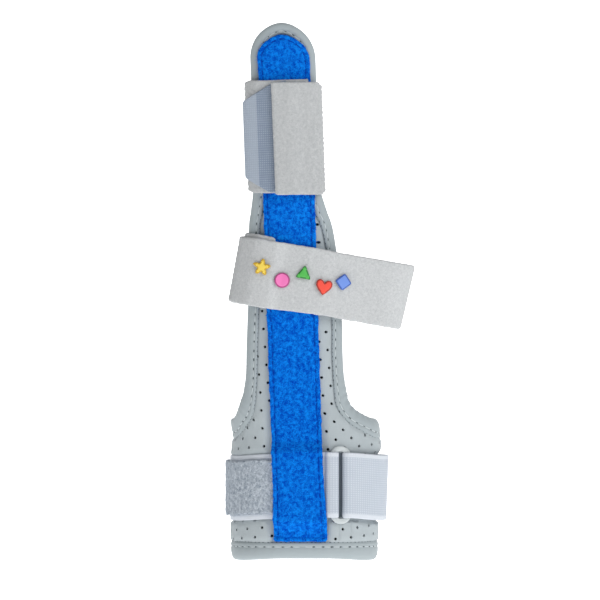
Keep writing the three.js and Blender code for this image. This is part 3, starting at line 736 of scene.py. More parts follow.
def swept(path: Array, section: Array, place: Place) -> Shape:
    """Sweeps a closed section along a path of flat points.

    Args:
        path: Points of the path, as a run along the panel and a height off it.
        section: Points of the section, as a height on the body and a distance square to the path.
        place: Place on the body of flat places at a height.

    Returns:
        The closed shape.
    """
    normal = square_to(unit(np.gradient(path, axis=0)))
    spots = path[:, None, :] + normal[:, None, :] * section[None, :, 1:2]
    up = np.broadcast_to(section[None, :, 0], spots.shape[:2])
    points = place(spots[..., 0].ravel(), up.ravel(), spots[..., 1].ravel())
    cut = np.column_stack([np.repeat(runs_of(path), len(section)), up.ravel()])
    return Shape(points, tube_faces(len(path), len(section), closed=False), cut)


@dataclass(frozen=True)
class Row:
    """Row of stitches or of painted needle-hole shade: its pitch, the length and radius of each and where it
    starts.
    """

    pitch: float = 3.5
    length: float = 2.3
    radius: float = 0.2
    start: float = 0.0
    uneven: float = 0.12
    skew: float = 0.6
    # Thread's stations along a stitch and its thickness there
    stations: tuple[float, ...] = (-0.5, -0.36, 0, 0.36, 0.5)
    sizes: tuple[float, ...] = (0.35, 0.9, 1.0, 0.9, 0.35)

    def shape(self, line: Array, place: Spot, seed: int) -> Shape:
        """Makes the row, each stitch a short thread that dives in at both ends.

        Args:
            line: Flat points that the row follows.
            place: Place on the body of flat places on the row.
            seed: Seed of the random draws.

        Returns:
            The stitches as one shape.
        """
        draws = np.random.default_rng(seed)
        run, rings = runs_of(line), len(self.stations)
        sizes = np.array(self.sizes) * self.radius
        turns = np.arange(THREAD_SIDES) / THREAD_SIDES * math.tau
        pattern = tube_faces(rings, THREAD_SIDES, closed=False)
        points, faces = [], []
        for i in range(int((run[-1] - self.start) / self.pitch)):
            middle = self.start + (i + 0.5) * self.pitch + draws.normal(0, self.uneven)
            length = self.length * (1 + draws.normal(0, self.uneven))
            spots = np.clip(middle + np.array(self.stations) * length, 0, run[-1])
            skew = draws.normal(0, self.uneven * self.skew, 2)
            spine = place(*(
                np.interp(spots, run, line[:, axis]) + np.linspace(-1, 1, rings) * skew[axis]
                for axis in (0, 1)
            ))
            ahead = (spine[-1] - spine[0]) / np.linalg.norm(spine[-1] - spine[0])
            side = np.cross(ahead, (0, 1, 0))
            side /= np.linalg.norm(side)
            lift = np.cross(side, ahead)
            faces += [tuple(len(points) + corner for corner in face) for face in pattern]
            for centre, size in zip(spine, sizes):
                points += [centre + size * (math.cos(turn) * side + math.sin(turn) * lift) for turn in turns]
        made = np.array(points)
        return Shape(made, faces, made[:, [0, 2]])


@dataclass(frozen=True)
class Fuzz:
    """Loose fibres of a pile, drawn thicker and fewer than real ones so that they show."""

    number: int
    length: float = 0.9
    radius: float = 0.05
    lift: float = 0.5
    edge_share: float = 0.2
    edge_length: float = 0.55
    edge_inset: float = 0.3
    edge_rise: float = 0.2
    root_depth: float = 0.95
    # Each fibre has a foot and a bend, at these shares of its length and of its thickness
    stations: Table = ((0, 1.0), (0.55, 0.8))

    def shape(self, patch: Patch, seed: int) -> Shape:
        """Makes the fibres over a patch of pile, each a thin spike that bends over.

        Args:
            patch: The cloth that carries the fibres.
            seed: Seed of the random draws.

        Returns:
            The fibres as one shape.
        """
        draws = np.random.default_rng(seed)
        outline = densify(patch.outline, 0.5)
        low, high = outline.min(0), outline.max(0)
        over = draws.uniform(low, high, (self.number * 2, 2))
        over = over[inside(over, outline)][: int(self.number * (1 - self.edge_share))]
        picks = draws.integers(0, len(outline), int(self.number * self.edge_share))
        out = -inward_at(outline)[picks]
        roots = np.vstack([over, outline[picks] - out * self.edge_inset])
        count, flat = len(roots), len(over)
        is_over = np.arange(count) < flat
        turns = draws.uniform(0, math.tau, count)
        heading = np.column_stack([np.cos(turns), np.sin(turns)])
        heading[flat:] = heading[flat:] / 2 + out
        heading = unit(heading)
        length = self.length * draws.uniform(0.5, 1.2, count)
        length[flat:] *= self.edge_length
        side = square_to(heading)
        depth = np.where(is_over, self.root_depth, draws.uniform(0.2, 0.9, count))
        foot = patch.rest(*roots.T) + patch.thickness * depth
        rise = length * self.lift * np.where(is_over, draws.uniform(0.5, 1, count), self.edge_rise)
        corners = []
        for share, size in self.stations:
            for turn in (math.pi / 2, math.pi * 7 / 6, math.pi * 11 / 6):
                radius = self.radius * size
                spot = roots + heading * (length * share)[:, None] + side * math.cos(turn) * radius
                height = foot + rise * share * (2 - share) + math.sin(turn) * radius
                corners.append(np.column_stack([spot, height]))
        corners.append(np.column_stack([roots + heading * length[:, None], foot + rise]))
        spots = np.stack(corners, axis=1).reshape(-1, 3)
        points = patch.place(*spots.T)
        pattern = [(0, 1, 4, 3), (1, 2, 5, 4), (2, 0, 3, 5), (3, 4, 6), (4, 5, 6), (5, 3, 6), (2, 1, 0)]
        faces = [tuple(7 * i + k for k in face) for i in range(count) for face in pattern]
        return Shape(points, faces, spots[:, :2])


def make_pile(
    names: tuple[str, str],
    patch: Patch,
    fuzz: Fuzz,
    finishes: tuple[Finish, Finish],
    slot: Slot,
    replaced: tuple[str, ...],
    seed: int,
) -> tuple[bpy.types.Object, bpy.types.Object]:
    """Makes a piece of pile cloth and its loose fibres.

    Args:
        names: Names of the cloth and of the fibres.
        patch: The cloth.
        fuzz: The fibres.
        finishes: Finishes of the cloth and of the fibres.
        slot: The record's slot for both, handed on to make_piece.
        replaced: The CAD nodes that the cloth stands for.
        seed: Seed of the fibres' random draws.

    Returns:
        The cloth and the fibres.
    """
    cloth = make_piece(names[0], patch.shape(), [finishes[0]], slot, replaced, PILE_CREASE)
    loose = fuzz.shape(patch, seed)
    return cloth, make_piece(names[1], loose, [finishes[1]], slot, crease=THREAD_CREASE)


# The worn form

@dataclass(frozen=True)
class BraceForm:
    """Form of the panel when worn: a stadium section whose front plane is level from hem to tip."""

    cuff_half_width: float = 27.5
    cuff_half_depth: float = 21.0
    cuff_height: float = 52.0
    cuff_palm_gap: float = 16.0
    cuff_corner: float = 9.0
    length: float = 206.6
    finger_half_width: float = 12.4
    neck_half_width: float = 20.6
    neck_height: float = 63.0
    neck_bend: float = 1.0
    left_neck_bend: float = 5.2
    shoulder_reach: float = 37.0
    tip_length: float = 14.0
    tip_point: float = 1.14
    blade_radius: float = 18.0
    blade_half_flat: float = 4.0
    form_change: float = 88.0
    lean: float = math.radians(2.06)
    lean_foot: float = -1.4
    lean_ease: float = 18.0
    # Shares of the rise from the neck to the tip's start, and of the narrowing that is left there
    shares: Table = (
        (0.06, 0.8), (0.16, 0.7), (0.28, 0.56), (0.49, 0.35), (0.55, 0.17), (0.62, 0.02), (0.75, 0), (1, 0),
    )
    strip_width: float = 20.0
    tape_width: float = 6.4
    webbing_low: float = 15.2
    webbing_high: float = 40.4

    @property
    def girth(self) -> float:
        """Returns the way round the cuff's outer face."""
        return 4 * (self.cuff_half_width - self.cuff_half_depth) + math.tau * self.cuff_half_depth

    @property
    def half_length(self) -> float:
        """Returns half of the cuff's flat length."""
        return (self.girth - self.cuff_palm_gap) / 2

    def spine_at(self, z: Array) -> Array:
        """Returns the side position of the finger's line at a height."""
        return self.lean_foot - np.asarray(z, float) * math.tan(self.lean)

    def section_at(self, z: Array) -> tuple[Array, Array, Array]:
        """Gives the stadium section at heights.

        Args:
            z: Heights.

        Returns:
            Half of the flat front, the radius of the sides and the middle.
        """
        change = smoothstep(z, self.cuff_height, self.cuff_height + self.form_change)
        shift = smoothstep(z, self.neck_height - self.lean_ease + GAP, self.neck_height)
        flat = lerp(self.cuff_half_width - self.cuff_half_depth, self.blade_half_flat, change)
        radius = lerp(self.cuff_half_depth, self.blade_radius, change)
        return flat, radius, self.spine_at(z) * shift

    def wrap(self, across: Array, z: Array, off: Array) -> Array:
        """Bends flat places into the worn form.

        Args:
            across: Runs across the flat pattern.
            z: Heights on it.
            off: Heights off the panel's outer face.

        Returns:
            The places on the body.
        """
        flat, radius, middle = self.section_at(z)
        girth = 4 * flat + math.tau * radius
        turned = across - girth * np.round(across / girth)
        side = np.where(turned < 0, -1.0, 1.0)
        run = np.abs(turned)
        turn = np.clip((run - flat) / radius, 0, math.pi)
        past = np.maximum(0, run - flat - math.pi * radius)
        x = np.minimum(run, flat) - past + (radius + off) * np.sin(turn)
        y = radius - self.cuff_half_depth - (radius + off) * np.cos(turn)
        return np.column_stack([middle + side * x, y, np.broadcast_to(z, np.shape(across))])

    def strip_middle(self, z: Array) -> Array:
        """Returns the middle of the blue strip on the flat pattern at a height."""
        return self.spine_at(z) - self.section_at(z)[2]

    def blade(self, neck_bend: float) -> Array:
        """Draws an edge of the flat pattern from the shoulder to the tip's start, as it lies on the right.

        Args:
            neck_bend: How far outside the neck the shoulder's curve aims.

        Returns:
            The points of the edge.
        """
        low, wide, top = self.neck_height, self.neck_half_width, self.length - self.tip_length
        start, aim = np.array([[self.shoulder_reach, self.cuff_height], [wide + neck_bend, self.cuff_height]])
        neck = np.array([wide, low])
        rows = [bend(start, aim, neck, np.linspace(0, 1, 16)[:, None])]
        knots = [neck] + [
            np.array([lerp(self.finger_half_width, wide, spread), lerp(low, top, rise)])
            for rise, spread in self.shares
        ]
        s = np.linspace(0, 1, 11)[1:, None]
        for i in range(len(knots) - 1):
            p0, p1, p2, p3 = (knots[k] for k in (max(i - 1, 0), i, i + 1, min(i + 2, len(knots) - 1)))
            v0, v1 = (p2 - p0) / 2, (p3 - p1) / 2
            third, second = 2 * p1 - 2 * p2 + v0 + v1, -3 * p1 + 3 * p2 - 2 * v0 - v1
            rows.append(third * s**3 + second * s**2 + v0 * s + p1)
        return np.vstack(rows)

    def tip(self, point: float) -> Array:
        """Draws the right half of the tip's edge.

        Args:
            point: How pointed it is: 1 is round, and more is more pointed.

        Returns:
            The points of the edge.
        """
        turn = np.linspace(0, math.pi / 2, 25)[1:]
        width = self.finger_half_width * np.cos(turn).clip(0) ** point
        return np.column_stack([width, self.length - self.tip_length + self.tip_length * np.sin(turn)])

    def outline(self) -> Array:
        """Draws the edge of the flat pattern, going round to the left of travel.

        Returns:
            The points of the edge.
        """
        corner, tip = self.cuff_corner, self.tip(self.tip_point)
        side, top = self.half_length - corner, self.cuff_height - corner
        turn = np.linspace(0, math.pi / 2, 13)
        low = np.column_stack([side + corner * np.sin(turn), corner - corner * np.cos(turn)])
        high = np.column_stack([side + corner * np.cos(turn), top + corner * np.sin(turn)])
        right = np.vstack([[(0, 0)], low, high, self.blade(self.neck_bend), tip])
        left = np.vstack([low, high, self.blade(self.left_neck_bend), tip[:-1]])[::-1] * (-1, 1)
        return np.vstack([right, left])

    def half_width_at(self, z: Array) -> Array:
        """Gives half of the flat pattern's width at heights.

        Args:
            z: Heights.

        Returns:
            The half widths.
        """
        cuff = [(self.half_length, 0), (self.half_length, self.cuff_height - 0.01)]
        edge = np.vstack([cuff, self.blade(self.neck_bend), self.tip(1.0)])
        return np.interp(z, edge[:, 1], edge[:, 0])


class Belt:
    """Belt round discs in a plane, with places at a run along it from its front and a height off it."""

    def __init__(self, discs: Array) -> None:
        """Works out the belt's points.

        Args:
            discs: Middles and radii of the discs.
        """
        turns = np.arange(0, math.tau, math.pi / 120)
        self.outward = np.column_stack([np.sin(turns), -np.cos(turns)])
        best = np.argmax(self.outward @ discs[:, :2].T + discs[:, 2], axis=1)
        self.points = discs[best, :2] + self.outward * discs[best, 2:]
        sides = np.linalg.norm(np.roll(self.points, -1, axis=0) - self.points, axis=1)
        self.runs = np.concatenate([[0], np.cumsum(sides)])
        self.girth = float(self.runs[-1])
        self.zero = self.front_run()

    def front_run(self) -> float:
        """Finds the run at which the belt crosses its own middle at the front.

        Returns:
            The run.
        """
        x = self.points[:, 0]
        i = int(np.argmax(x > 0)) if x[0] <= 0 else len(x)
        before, after = x[i - 1], x[i % len(x)]
        return float(lerp(self.runs[i - 1], self.runs[i], -before / (after - before) if before < 0 else 1.0))

    def folds(self) -> tuple[float, float]:
        """Finds the runs at which the belt turns back on the right and on the left.

        Returns:
            Both runs.
        """
        found = []
        for best in (int(np.argmax(self.points[:, 0])), int(np.argmin(self.points[:, 0]))):
            run = float(self.runs[best]) - self.zero
            found.append(run - self.girth * round(run / self.girth))
        return found[0], found[1]

    def at(self, along: Array, off: Array) -> Array:
        """Places runs along the belt and heights off it.

        Args:
            along: Runs along the belt.
            off: Heights off it.

        Returns:
            The points in its plane.
        """
        wanted = np.mod(np.asarray(along) + self.zero, self.girth)
        i = np.clip(np.searchsorted(self.runs, wanted, side="right") - 1, 0, len(self.points) - 1)
        after = (i + 1) % len(self.points)
        share = ((wanted - self.runs[i]) / np.maximum(self.runs[i + 1] - self.runs[i], TINY))[:, None]
        outward = unit(lerp(self.outward[i], self.outward[after], share))
        return lerp(self.points[i], self.points[after], share) + outward * np.asarray(off)[:, None]


# Sub-assemblies

@dataclass
class Panel:
    """Perforated knit over dark foam, with tape folded over its edge and stitched down."""

    form: BraceForm
    core_thickness: float = 1.6
    face_thickness: float = 1.0
    tape_thickness: float = 0.8
    face_step: float = 1.5
    foam_step: float = 2.4
    tape_step: float = 0.85
    tape_back_gap: float = 0.5
    hole_diameter: float = 1.15
    hole_column_step: float = 3.35
    hole_row_step: float = 6.93
    hole_turn: float = math.radians(4.8)
    hole_tries: int = 12
    hole_tuck: float = 0.1
    hole_narrowing: float = 0.07
    hole_tape_share: float = 0.82
    # Each side's row of holes starts at a place across and up
    hole_starts: tuple[tuple[int, float, float], ...] = ((1, 8.4, 49.1), (-1, -13.0, 54.0))
    puff_height: float = 1.2
    puff_ramp: float = 2.6
    puff_start: float = 0.7
    puff_rim: float = 1.4
    hem_lean: float = 1.0
    hem_foot: float = -4.0
    hem_dip: float = 1.1
    dip_span: Span = (8.0, 33.0)
    right_swell: float = 1.1
    left_draw: float = 0.4
    corner_draw: float = 0.7
    swell_span: Span = (18.0, 32.0)
    strap_sag: float = 0.8
    sag_span: Span = (14.0, 32.0)
    shoulder_rise: float = 1.9
    shoulder_span: Span = (17.0, 27.0)
    shoulder_foot: float = 44.0
    fold_reach: float = 0.6
    fold_span: Span = (0.0, 3.0)
    blade_tape_share: float = 0.7
    # Heights, and how far the cloth is pulled out sideways there
    right_reach: Table = (
        (58, 0), (71, 0.6), (80, 1.1), (91, 2.4), (105, 2.8), (119, 3.1), (127, 2.4), (134, 1.2), (141, 0),
    )
    left_reach: Table = ((100, 0), (119, 0.4), (134, 0.7), (141, 0.6), (148, 0))
    right_span: Span = (6.8, 11.8)
    left_span: Span = (5.0, 12.0)
    # Each fold's place across, and the heights of its ends
    crease_lines: tuple[tuple[float, float, float], ...] = (
        (13.2, 7.3, 14.6), (18.0, 9.4, 14.8), (20.8, 13.2, 14.8),
    )
    crease_depth: float = 0.3
    crease_half_width: float = 0.28
    crease_tail: float = 0.4
    crease_side: float = 0.45
    pucker: float = 0.24
    pucker_pitch: float = 2.7
    pucker_drift: float = 1.3
    pucker_drift_run: float = 5.0
    pucker_rise: Span = (50.0, 53.0)
    pucker_fall: Span = (60.0, 72.0)
    left_pucker_share: float = 0.4
    pinch: float = 0.12
    pinch_reach: float = 1.2
    stitch_inset: float = 4.6
    seam_inset: float = 6.25
    stitch_depth: float = 0.22
    needle_depth: float = 0.34
    seam_level: float = 0.55
    stitches: Row = Row(3.5, 2.5, 0.21)
    # Rows of painted shade for needle holes: between the stitches, and dotted along the tape's inner seam
    needle_holes: Row = Row(3.5, 0.95, 0.26, start=1.75)
    seam_dots: Row = Row(1.75, 0.6, 0.14)
    # Satin polyester knit: close threads too fine to see, so it looks smooth and even, softly matt
    face: Finish = Weave(
        "satin_polyester_knit", "a9b2b6", "b7c0c4", 0.7, across=0.7, along=0.7, depth=0.02, contrast=0.2,
    )
    # Closed-cell foam with knit backing: nearly black, matt, seen through the perforations and from behind
    foam: Finish = Smooth("black_foam_with_knit_back", "1f2123", "2b2e31", 0.95, grain=0.4, depth=0.1)
    # Stretch binding: satin face, a shade darker than the knit, with a soft light along its fold
    tape: Finish = Smooth(
        "satin_stretch_binding", "9ea8ac", "a7b1b5", 0.6, specular=0.3, grain=0.5, depth=0.02,
    )
    # Polyester sewing thread: pale and slightly glossy, standing out from the tape
    thread: Finish = Smooth("polyester_sewing_thread", "bcc5c8", "cfd6d9", 0.6, grain=0.2, depth=0.03)
    # Needle holes: painted shade in the holes punched in the tape and along its inner seam, drawn as short
    # dark dashes
    shade: Finish = Smooth("painted_needle_hole_shade", "434c50", "626c71", 0.9, grain=0.2, depth=0.02)

    @property
    def depth(self) -> float:
        """Returns the thickness of the panel's layers."""
        return self.face_thickness + GAP + self.core_thickness

    def wrap(self, across: Array, z: Array, off: Array) -> Array:
        """Places the panel's cloth, drawn in at the hem, swollen and raised at the shoulders.

        Args:
            across: Runs across the flat pattern.
            z: Heights.
            off: Heights off the panel's outer face.

        Returns:
            The places on the body.
        """
        form, beside = self.form, np.abs(across)
        top, tape, strap = form.cuff_height, form.tape_width, form.webbing_high
        lean = self.hem_lean * (1 - smoothstep(z, self.hem_foot, tape))
        above = smoothstep(z, strap - 0.6, strap + 2)
        drawn = -self.left_draw * above - self.corner_draw * smoothstep(z, top - 10, top - 1)
        swell = np.where(across > 0, self.right_swell * above, drawn) * smoothstep(beside, *self.swell_span)
        swell = swell * (1 - smoothstep(z, top + 2, form.neck_height + 3))
        rise = self.shoulder_rise * smoothstep(beside, *self.shoulder_span)
        rise = rise * smoothstep(z, self.shoulder_foot, top)
        dip = self.hem_dip * smoothstep(beside, *self.dip_span) * (1 - smoothstep(z, 0, tape))
        return form.wrap(across + self.shift(across, z), z + rise - dip, off - lean + swell)

    def shift(self, across: Array, z: Array) -> Array:
        """Returns how far the cloth is pulled out sideways, most at its edges."""
        right = from_table(z, self.right_reach) * smoothstep(across, *self.right_span)
        return right - from_table(z, self.left_reach) * smoothstep(-across, *self.left_span)

    def tape_share(self, z: Array) -> Array:
        """Returns how much of the tape's width shows in front, less beside the finger than at the cuff."""
        above = smoothstep(z, self.form.cuff_height + 2, self.form.neck_height + 10)
        return lerp(1.0, self.blade_tape_share, above)

    def puff(self, across: Array, z: Array) -> Array:
        """Gives the swelling of the cloth between the tape, the wrist strap and the blue strip.

        Args:
            across: Runs across the flat pattern.
            z: Heights.

        Returns:
            How far the cloth swells.
        """
        form = self.form
        edge = distance_to(np.column_stack([across, z]), form.outline())
        start = form.tape_width - self.puff_start
        free = smoothstep(edge, start, start + self.puff_rim)
        sagged = z + self.strap_sag * smoothstep(np.abs(across), *self.sag_span)
        low, high = form.webbing_low, form.webbing_high
        held = window(sagged, low - 1.2, low, high - 0.4, high + 0.8)
        side = np.abs(across - form.strip_middle(z)) - form.strip_width / 2
        cuff = 1 - smoothstep(z, form.cuff_height, form.neck_height)
        return self.puff_height * free * (1 - held) * smoothstep(side, 0, self.puff_ramp) * cuff

    def creases(self, across: Array, z: Array) -> Array:
        """Gives the folds in the knit beside the ring.

        Args:
            across: Runs across the flat pattern.
            z: Heights.

        Returns:
            Their depths, below 0.
        """
        found, tail = np.zeros(len(across)), self.crease_tail
        for x, low, high in self.crease_lines:
            along = window(z, low - tail, low + 3 * tail, high - 1, high + tail)
            found = np.maximum(found, along * bell(across, x, self.crease_half_width))
        return -self.crease_depth * found

    def holes(self) -> Array:
        """Lays the staggered perforations, clear of the tape and the blue strip.

        Returns:
            Their middles on the flat pattern.
        """
        form, found = self.form, []
        turn, half = self.hole_turn, form.strip_width / 2 - self.hole_tuck
        for side, across, up in self.hole_starts:
            i, j = (g.ravel() for g in np.meshgrid(np.arange(-60, 61), np.arange(-30, 31)))
            x, z = i * self.hole_column_step, (j + (i % 2) / 2) * self.hole_row_step
            x, z = (
                across + x * math.cos(turn) - z * math.sin(turn),
                up + x * math.sin(turn) + z * math.cos(turn),
            )
            x = x - form.section_at(z)[2]
            x = x - self.hole_narrowing * np.maximum(x - half, 0) * (z < form.neck_height)
            keep = side * (x - form.strip_middle(z)) > half
            # The cloth is pulled sideways later, so each hole's flat place is found by trial
            flat = x
            for _ in range(self.hole_tries):
                flat = (flat + x - self.shift(flat, z)) / 2
            found.append(np.column_stack([flat, z])[keep])
        spots = np.vstack(found)
        spots = spots[inside(spots, form.outline())]
        width = form.tape_width * self.hole_tape_share * self.tape_share(spots[:, 1])
        return spots[distance_to(spots, form.outline()) > width]

    def build(self) -> None:
        """Builds the face, the foam, the tape and its stitches."""
        form = self.form
        edge = form.outline()
        cut = edge + inward_at(edge) * (self.tape_thickness + GAP)
        tail, near = self.crease_tail, self.crease_side
        lines = tuple(
            np.column_stack([np.full(14, x + side), np.linspace(low - tail, high + tail, 14)])
            for x, low, high in self.crease_lines for side in (-near, 0, near)
        )
        face = Patch(
            cut, self.face_step, self.face_thickness, self.face_rest, self.wrap, HARD_EDGE,
            self.creases, lines, self.holes(), self.hole_diameter / 2,
        )
        name, replaced = "perforated_knit", ("panel_face",)
        piece = make_piece(name, face.shape(), [self.face], Slot.PANEL, replaced, CUT_CREASE)
        foam = Patch(cut, self.foam_step, self.core_thickness, self.foam_rest, self.wrap, HARD_EDGE)
        name, replaced = "foam_lining", ("foam_core",)
        lining = make_piece(name, foam.shape(), [self.foam], Slot.FOAM, replaced, CUT_CREASE)
        self.build_tape(densify(edge, self.tape_step))

    def face_rest(self, across: Array, z: Array) -> Array:
        """Returns the height of the knit's underside."""
        return self.puff(across, z) - self.face_thickness

    def foam_rest(self, across: Array, z: Array) -> Array:
        """Returns the height of the foam's underside."""
        return self.puff(across, z) - self.depth

    def puckers(self, edge: Array, run: Array) -> Array:
        """Gives the gathers of the tape round the tight inner curve at the neck.

        Args:
            edge: Points of the edge.
            run: Their runs along the edge.

        Returns:
            The heights of the gathers.
        """
        x, z = edge.T
        share = window(z, *self.pucker_rise, *self.pucker_fall) * np.where(x > 0, 1.0, self.left_pucker_share)
        drift = self.pucker_drift * np.sin(run / self.pucker_drift_run)
        return self.pucker * share * np.sin(run / self.pucker_pitch * math.tau + drift)

    def build_tape(self, edge: Array) -> None:
        """Builds the folded tape and its stitches round the edge.

        Args:
            edge: Points of the edge.
        """
        low, top = -self.depth - self.tape_back_gap - self.tape_thickness, GAP + self.tape_thickness
        wide, thick, sewn = self.form.tape_width, self.tape_thickness, self.stitch_inset
        # Insets from the edge and heights: round the back, under the front, and over its sunk seam
        section = np.array([
            (wide - 0.1, low + 0.05), (wide, low + 0.4), (wide - 0.1, low + thick),
            (thick + 0.3, low + thick), (thick, low + thick + 0.5), (thick, GAP - 0.4),
            (thick + 0.3, GAP), (wide - 0.1, GAP),
            (wide, GAP + 0.1), (wide - 0.1, GAP + 0.3), (wide - 0.6, top - 0.25), (sewn + 0.8, top - 0.05),
            (sewn + 0.3, top - 0.16), (sewn, top - 0.3), (sewn - 0.3, top - 0.16), (sewn - 0.8, top + 0.05),
            (2.8, top + 0.12), (1.7, top + 0.02), (0.8, top - 0.28), (0.2, top - 0.9), (0, (low + top) / 2),
            (0.2, low + 0.9), (0.7, low + 0.25), (1.6, low),
        ])
        inset, level = section.T
        inward, run = inward_at(edge), runs_of(edge)
        outer = smoothstep(-inset, -sewn, -thick) * (level > 0)
        near = bell(inset, sewn, self.pinch_reach) * (level > GAP)
        pinch = -self.pinch * np.cos(run / self.stitches.pitch * math.tau)
        share = self.tape_share(edge[:, 1])[:, None]
        flat = edge[:, None, :] + (inward * share)[:, None, :] * section[None, :, 0:1]
        flat[..., 0] -= inward[:, None, 0] * self.fold_reach * (1 - smoothstep(inset[None], *self.fold_span))
        off = level[None] + self.puckers(edge, run)[:, None] * outer + pinch[:, None] * near
        points = self.wrap(flat[..., 0].ravel(), flat[..., 1].ravel(), off.ravel())
        cut = np.column_stack([np.repeat(run, len(section)), np.tile(inset, len(edge))])
        faces = tube_faces(len(edge), len(section), closed=True)
        make_piece("bound_edge", Shape(points, faces, cut), [self.tape], Slot.TAPE, ("edge_binding",))
        loop = np.vstack([edge, edge[:1]])
        sides = np.vstack([inward * share, inward[:1] * share[:1]])
        seam = loop + sides * sewn
        made = self.stitches.shape(seam, self.laid(top - self.stitch_depth), seed=11)
        make_piece("edge_stitches", made, [self.thread], Slot.TAPE, crease=THREAD_CREASE)
        # Painted shade for the needle holes, drawn as short dark dashes between the stitches and along the
        # inner seam
        hole_shade = self.needle_holes.shape(seam, self.laid(top - self.needle_depth), seed=12)
        inner = loop + sides * self.seam_inset
        dots = self.seam_dots.shape(inner, self.laid(self.seam_level), seed=13)
        make_piece("needle_hole_shade", hole_shade.joined(dots), [self.shade], Slot.TAPE, crease=THREAD_CREASE)

    def laid(self, height: float) -> Spot:
        """Returns the placing of threads that lie on the tape.

        Args:
            height: Their height off the panel.

        Returns:
            The place on the body of flat places.
        """

        def place(across: Array, z: Array) -> Array:
            """Returns the places on the body."""
            return self.wrap(across, z, np.full(len(across), height))

        return place


@dataclass
class BlueStrip:
    """Strip of blue loop cloth along the finger's line, over the wrist strap."""

    form: BraceForm
    thickness: float = 1.4
    low: float = 6.7
    high: float = 202.1
    foot_length: float = 20.0
    foot_spread: float = 0.035
    # Heights, and how far the left edge is drawn in there
    left_tuck: Table = (
        (8, 0), (20, 0.7), (38, 0.75), (52, 0.15), (92, 0.15), (108, 0.6), (125, 0.7), (185, 0.7), (196, 0.2),
    )
    ramp: float = 5.0
    over_strap: float = 2.9
    over_tape: float = 1.4
    seam_inset: float = 1.9
    seam_level: float = 0.75
    seam: Row = Row(3.4, 2.0, 0.26, uneven=0.15)
    fuzz: Fuzz = Fuzz(9000, 1.0, 0.05, 0.5, 0.2)
    fuzz_inset: float = 0.3
    # Brushed nylon loop: saturated blue, with dark gaps between tufts that lean and catch the light
    pile: Finish = Pile(
        "brushed_nylon_loop_blue", "0042b2", "0f87ee", 0.95, specular=0.02, tuft=1.6, fibre=0.45, depth=0.4,
        spread=0.085,
    )
    # Loose nylon fibres: paler than the ground, so the edge is fuzzy and flecked
    fibres: Finish = Pile(
        "loose_nylon_fibre_blue", "0058cc", "1c90f2", 0.9, specular=0.02, tuft=1.2, fibre=0.5, depth=0.05,
    )
    # Sewing thread sunk in the pile: dark dashes along both edges
    thread: Finish = Smooth("polyester_thread_in_pile", "00349a", "0046b6", 0.8, specular=0.1, grain=0.3)

    def rest(self, z: Array) -> Array:
        """Gives the strip's lie off the panel, over the wrist strap and the tape.

        Args:
            z: Heights.

        Returns:
            The heights of its underside.
        """
        form = self.form
        low, high = form.webbing_low - GAP, form.webbing_high + GAP
        over = window(z, low - self.ramp, low, high, high + self.ramp)
        room = form.half_width_at(z) - form.tape_width - form.strip_width / 2
        beside = 1 - smoothstep(room, GAP, 2 * GAP + 1)
        tape = np.where(np.asarray(z) < form.neck_height, 0, beside)
        return np.maximum(lerp(GAP, self.over_strap, over), lerp(GAP, self.over_tape, tape))

    def laid(self, across: Array, z: Array) -> Array:
        """Returns the height of the strip's underside at flat places."""
        return self.rest(z)

    def place(self, across: Array, z: Array, off: Array) -> Array:
        """Places the strip, wider at its foot and drawn in on its left.

        Args:
            across: Runs across the strip.
            z: Heights.
            off: Heights off the panel's outer face.

        Returns:
            The places on the body.
        """
        form = self.form
        spread = self.foot_spread * (1 - smoothstep(z, self.low, form.webbing_high))
        tuck = from_table(z, self.left_tuck) / (form.strip_width / 2)
        wide = across * (1 + np.where(across > 0, spread, -tuck))
        return form.wrap(wide + form.strip_middle(z), z, off)

    def sewn(self, across: Array, z: Array) -> Array:
        """Returns the places on the body of the sunk seam."""
        return self.place(across, z, self.rest(z) + self.thickness * self.seam_level)

    def build(self) -> None:
        """Builds the strip."""
        half = self.form.strip_width / 2
        turn = np.linspace(0, math.pi, 40)
        width = half * np.sign(np.cos(turn)) * np.abs(np.cos(turn)) ** self.form.tip_point
        arch = np.column_stack([width, self.high - half + half * np.sin(turn)])
        low, high = self.low, self.low + self.foot_length
        foot = rounded([(-half, high), (-half, low), (half, low), (half, high)], [0, 1.0, 1.0, 0])
        outline = np.vstack([foot, arch])
        inner = outline + inward_at(outline) * self.fuzz_inset * (outline[:, 1:] > low + 1)
        edge = frayed(inner, step=0.9, depth=0.1, seed=21)
        patch = Patch(edge, 1.0, self.thickness, self.laid, self.place, SEWN_EDGE)
        piece, fibres = make_pile(
            ("blue_loop_strip", "blue_loop_fibres"), patch, self.fuzz, (self.pile, self.fibres),
            Slot.BLUE, ("spine_strip",), seed=22,
        )
        dense = densify(outline, 0.8)
        seam = (dense + inward_at(dense) * self.seam_inset)[dense[:, 1] > low + 2]
        start = int(np.argmax(np.linalg.norm(np.diff(seam, axis=0), axis=1))) + 1
        made = self.seam.shape(np.roll(seam, -start, axis=0), self.sewn, seed=23)
        name = "blue_strip_stitches"
        thread = make_piece(name, made, [self.thread], Slot.BLUE, crease=THREAD_CREASE)


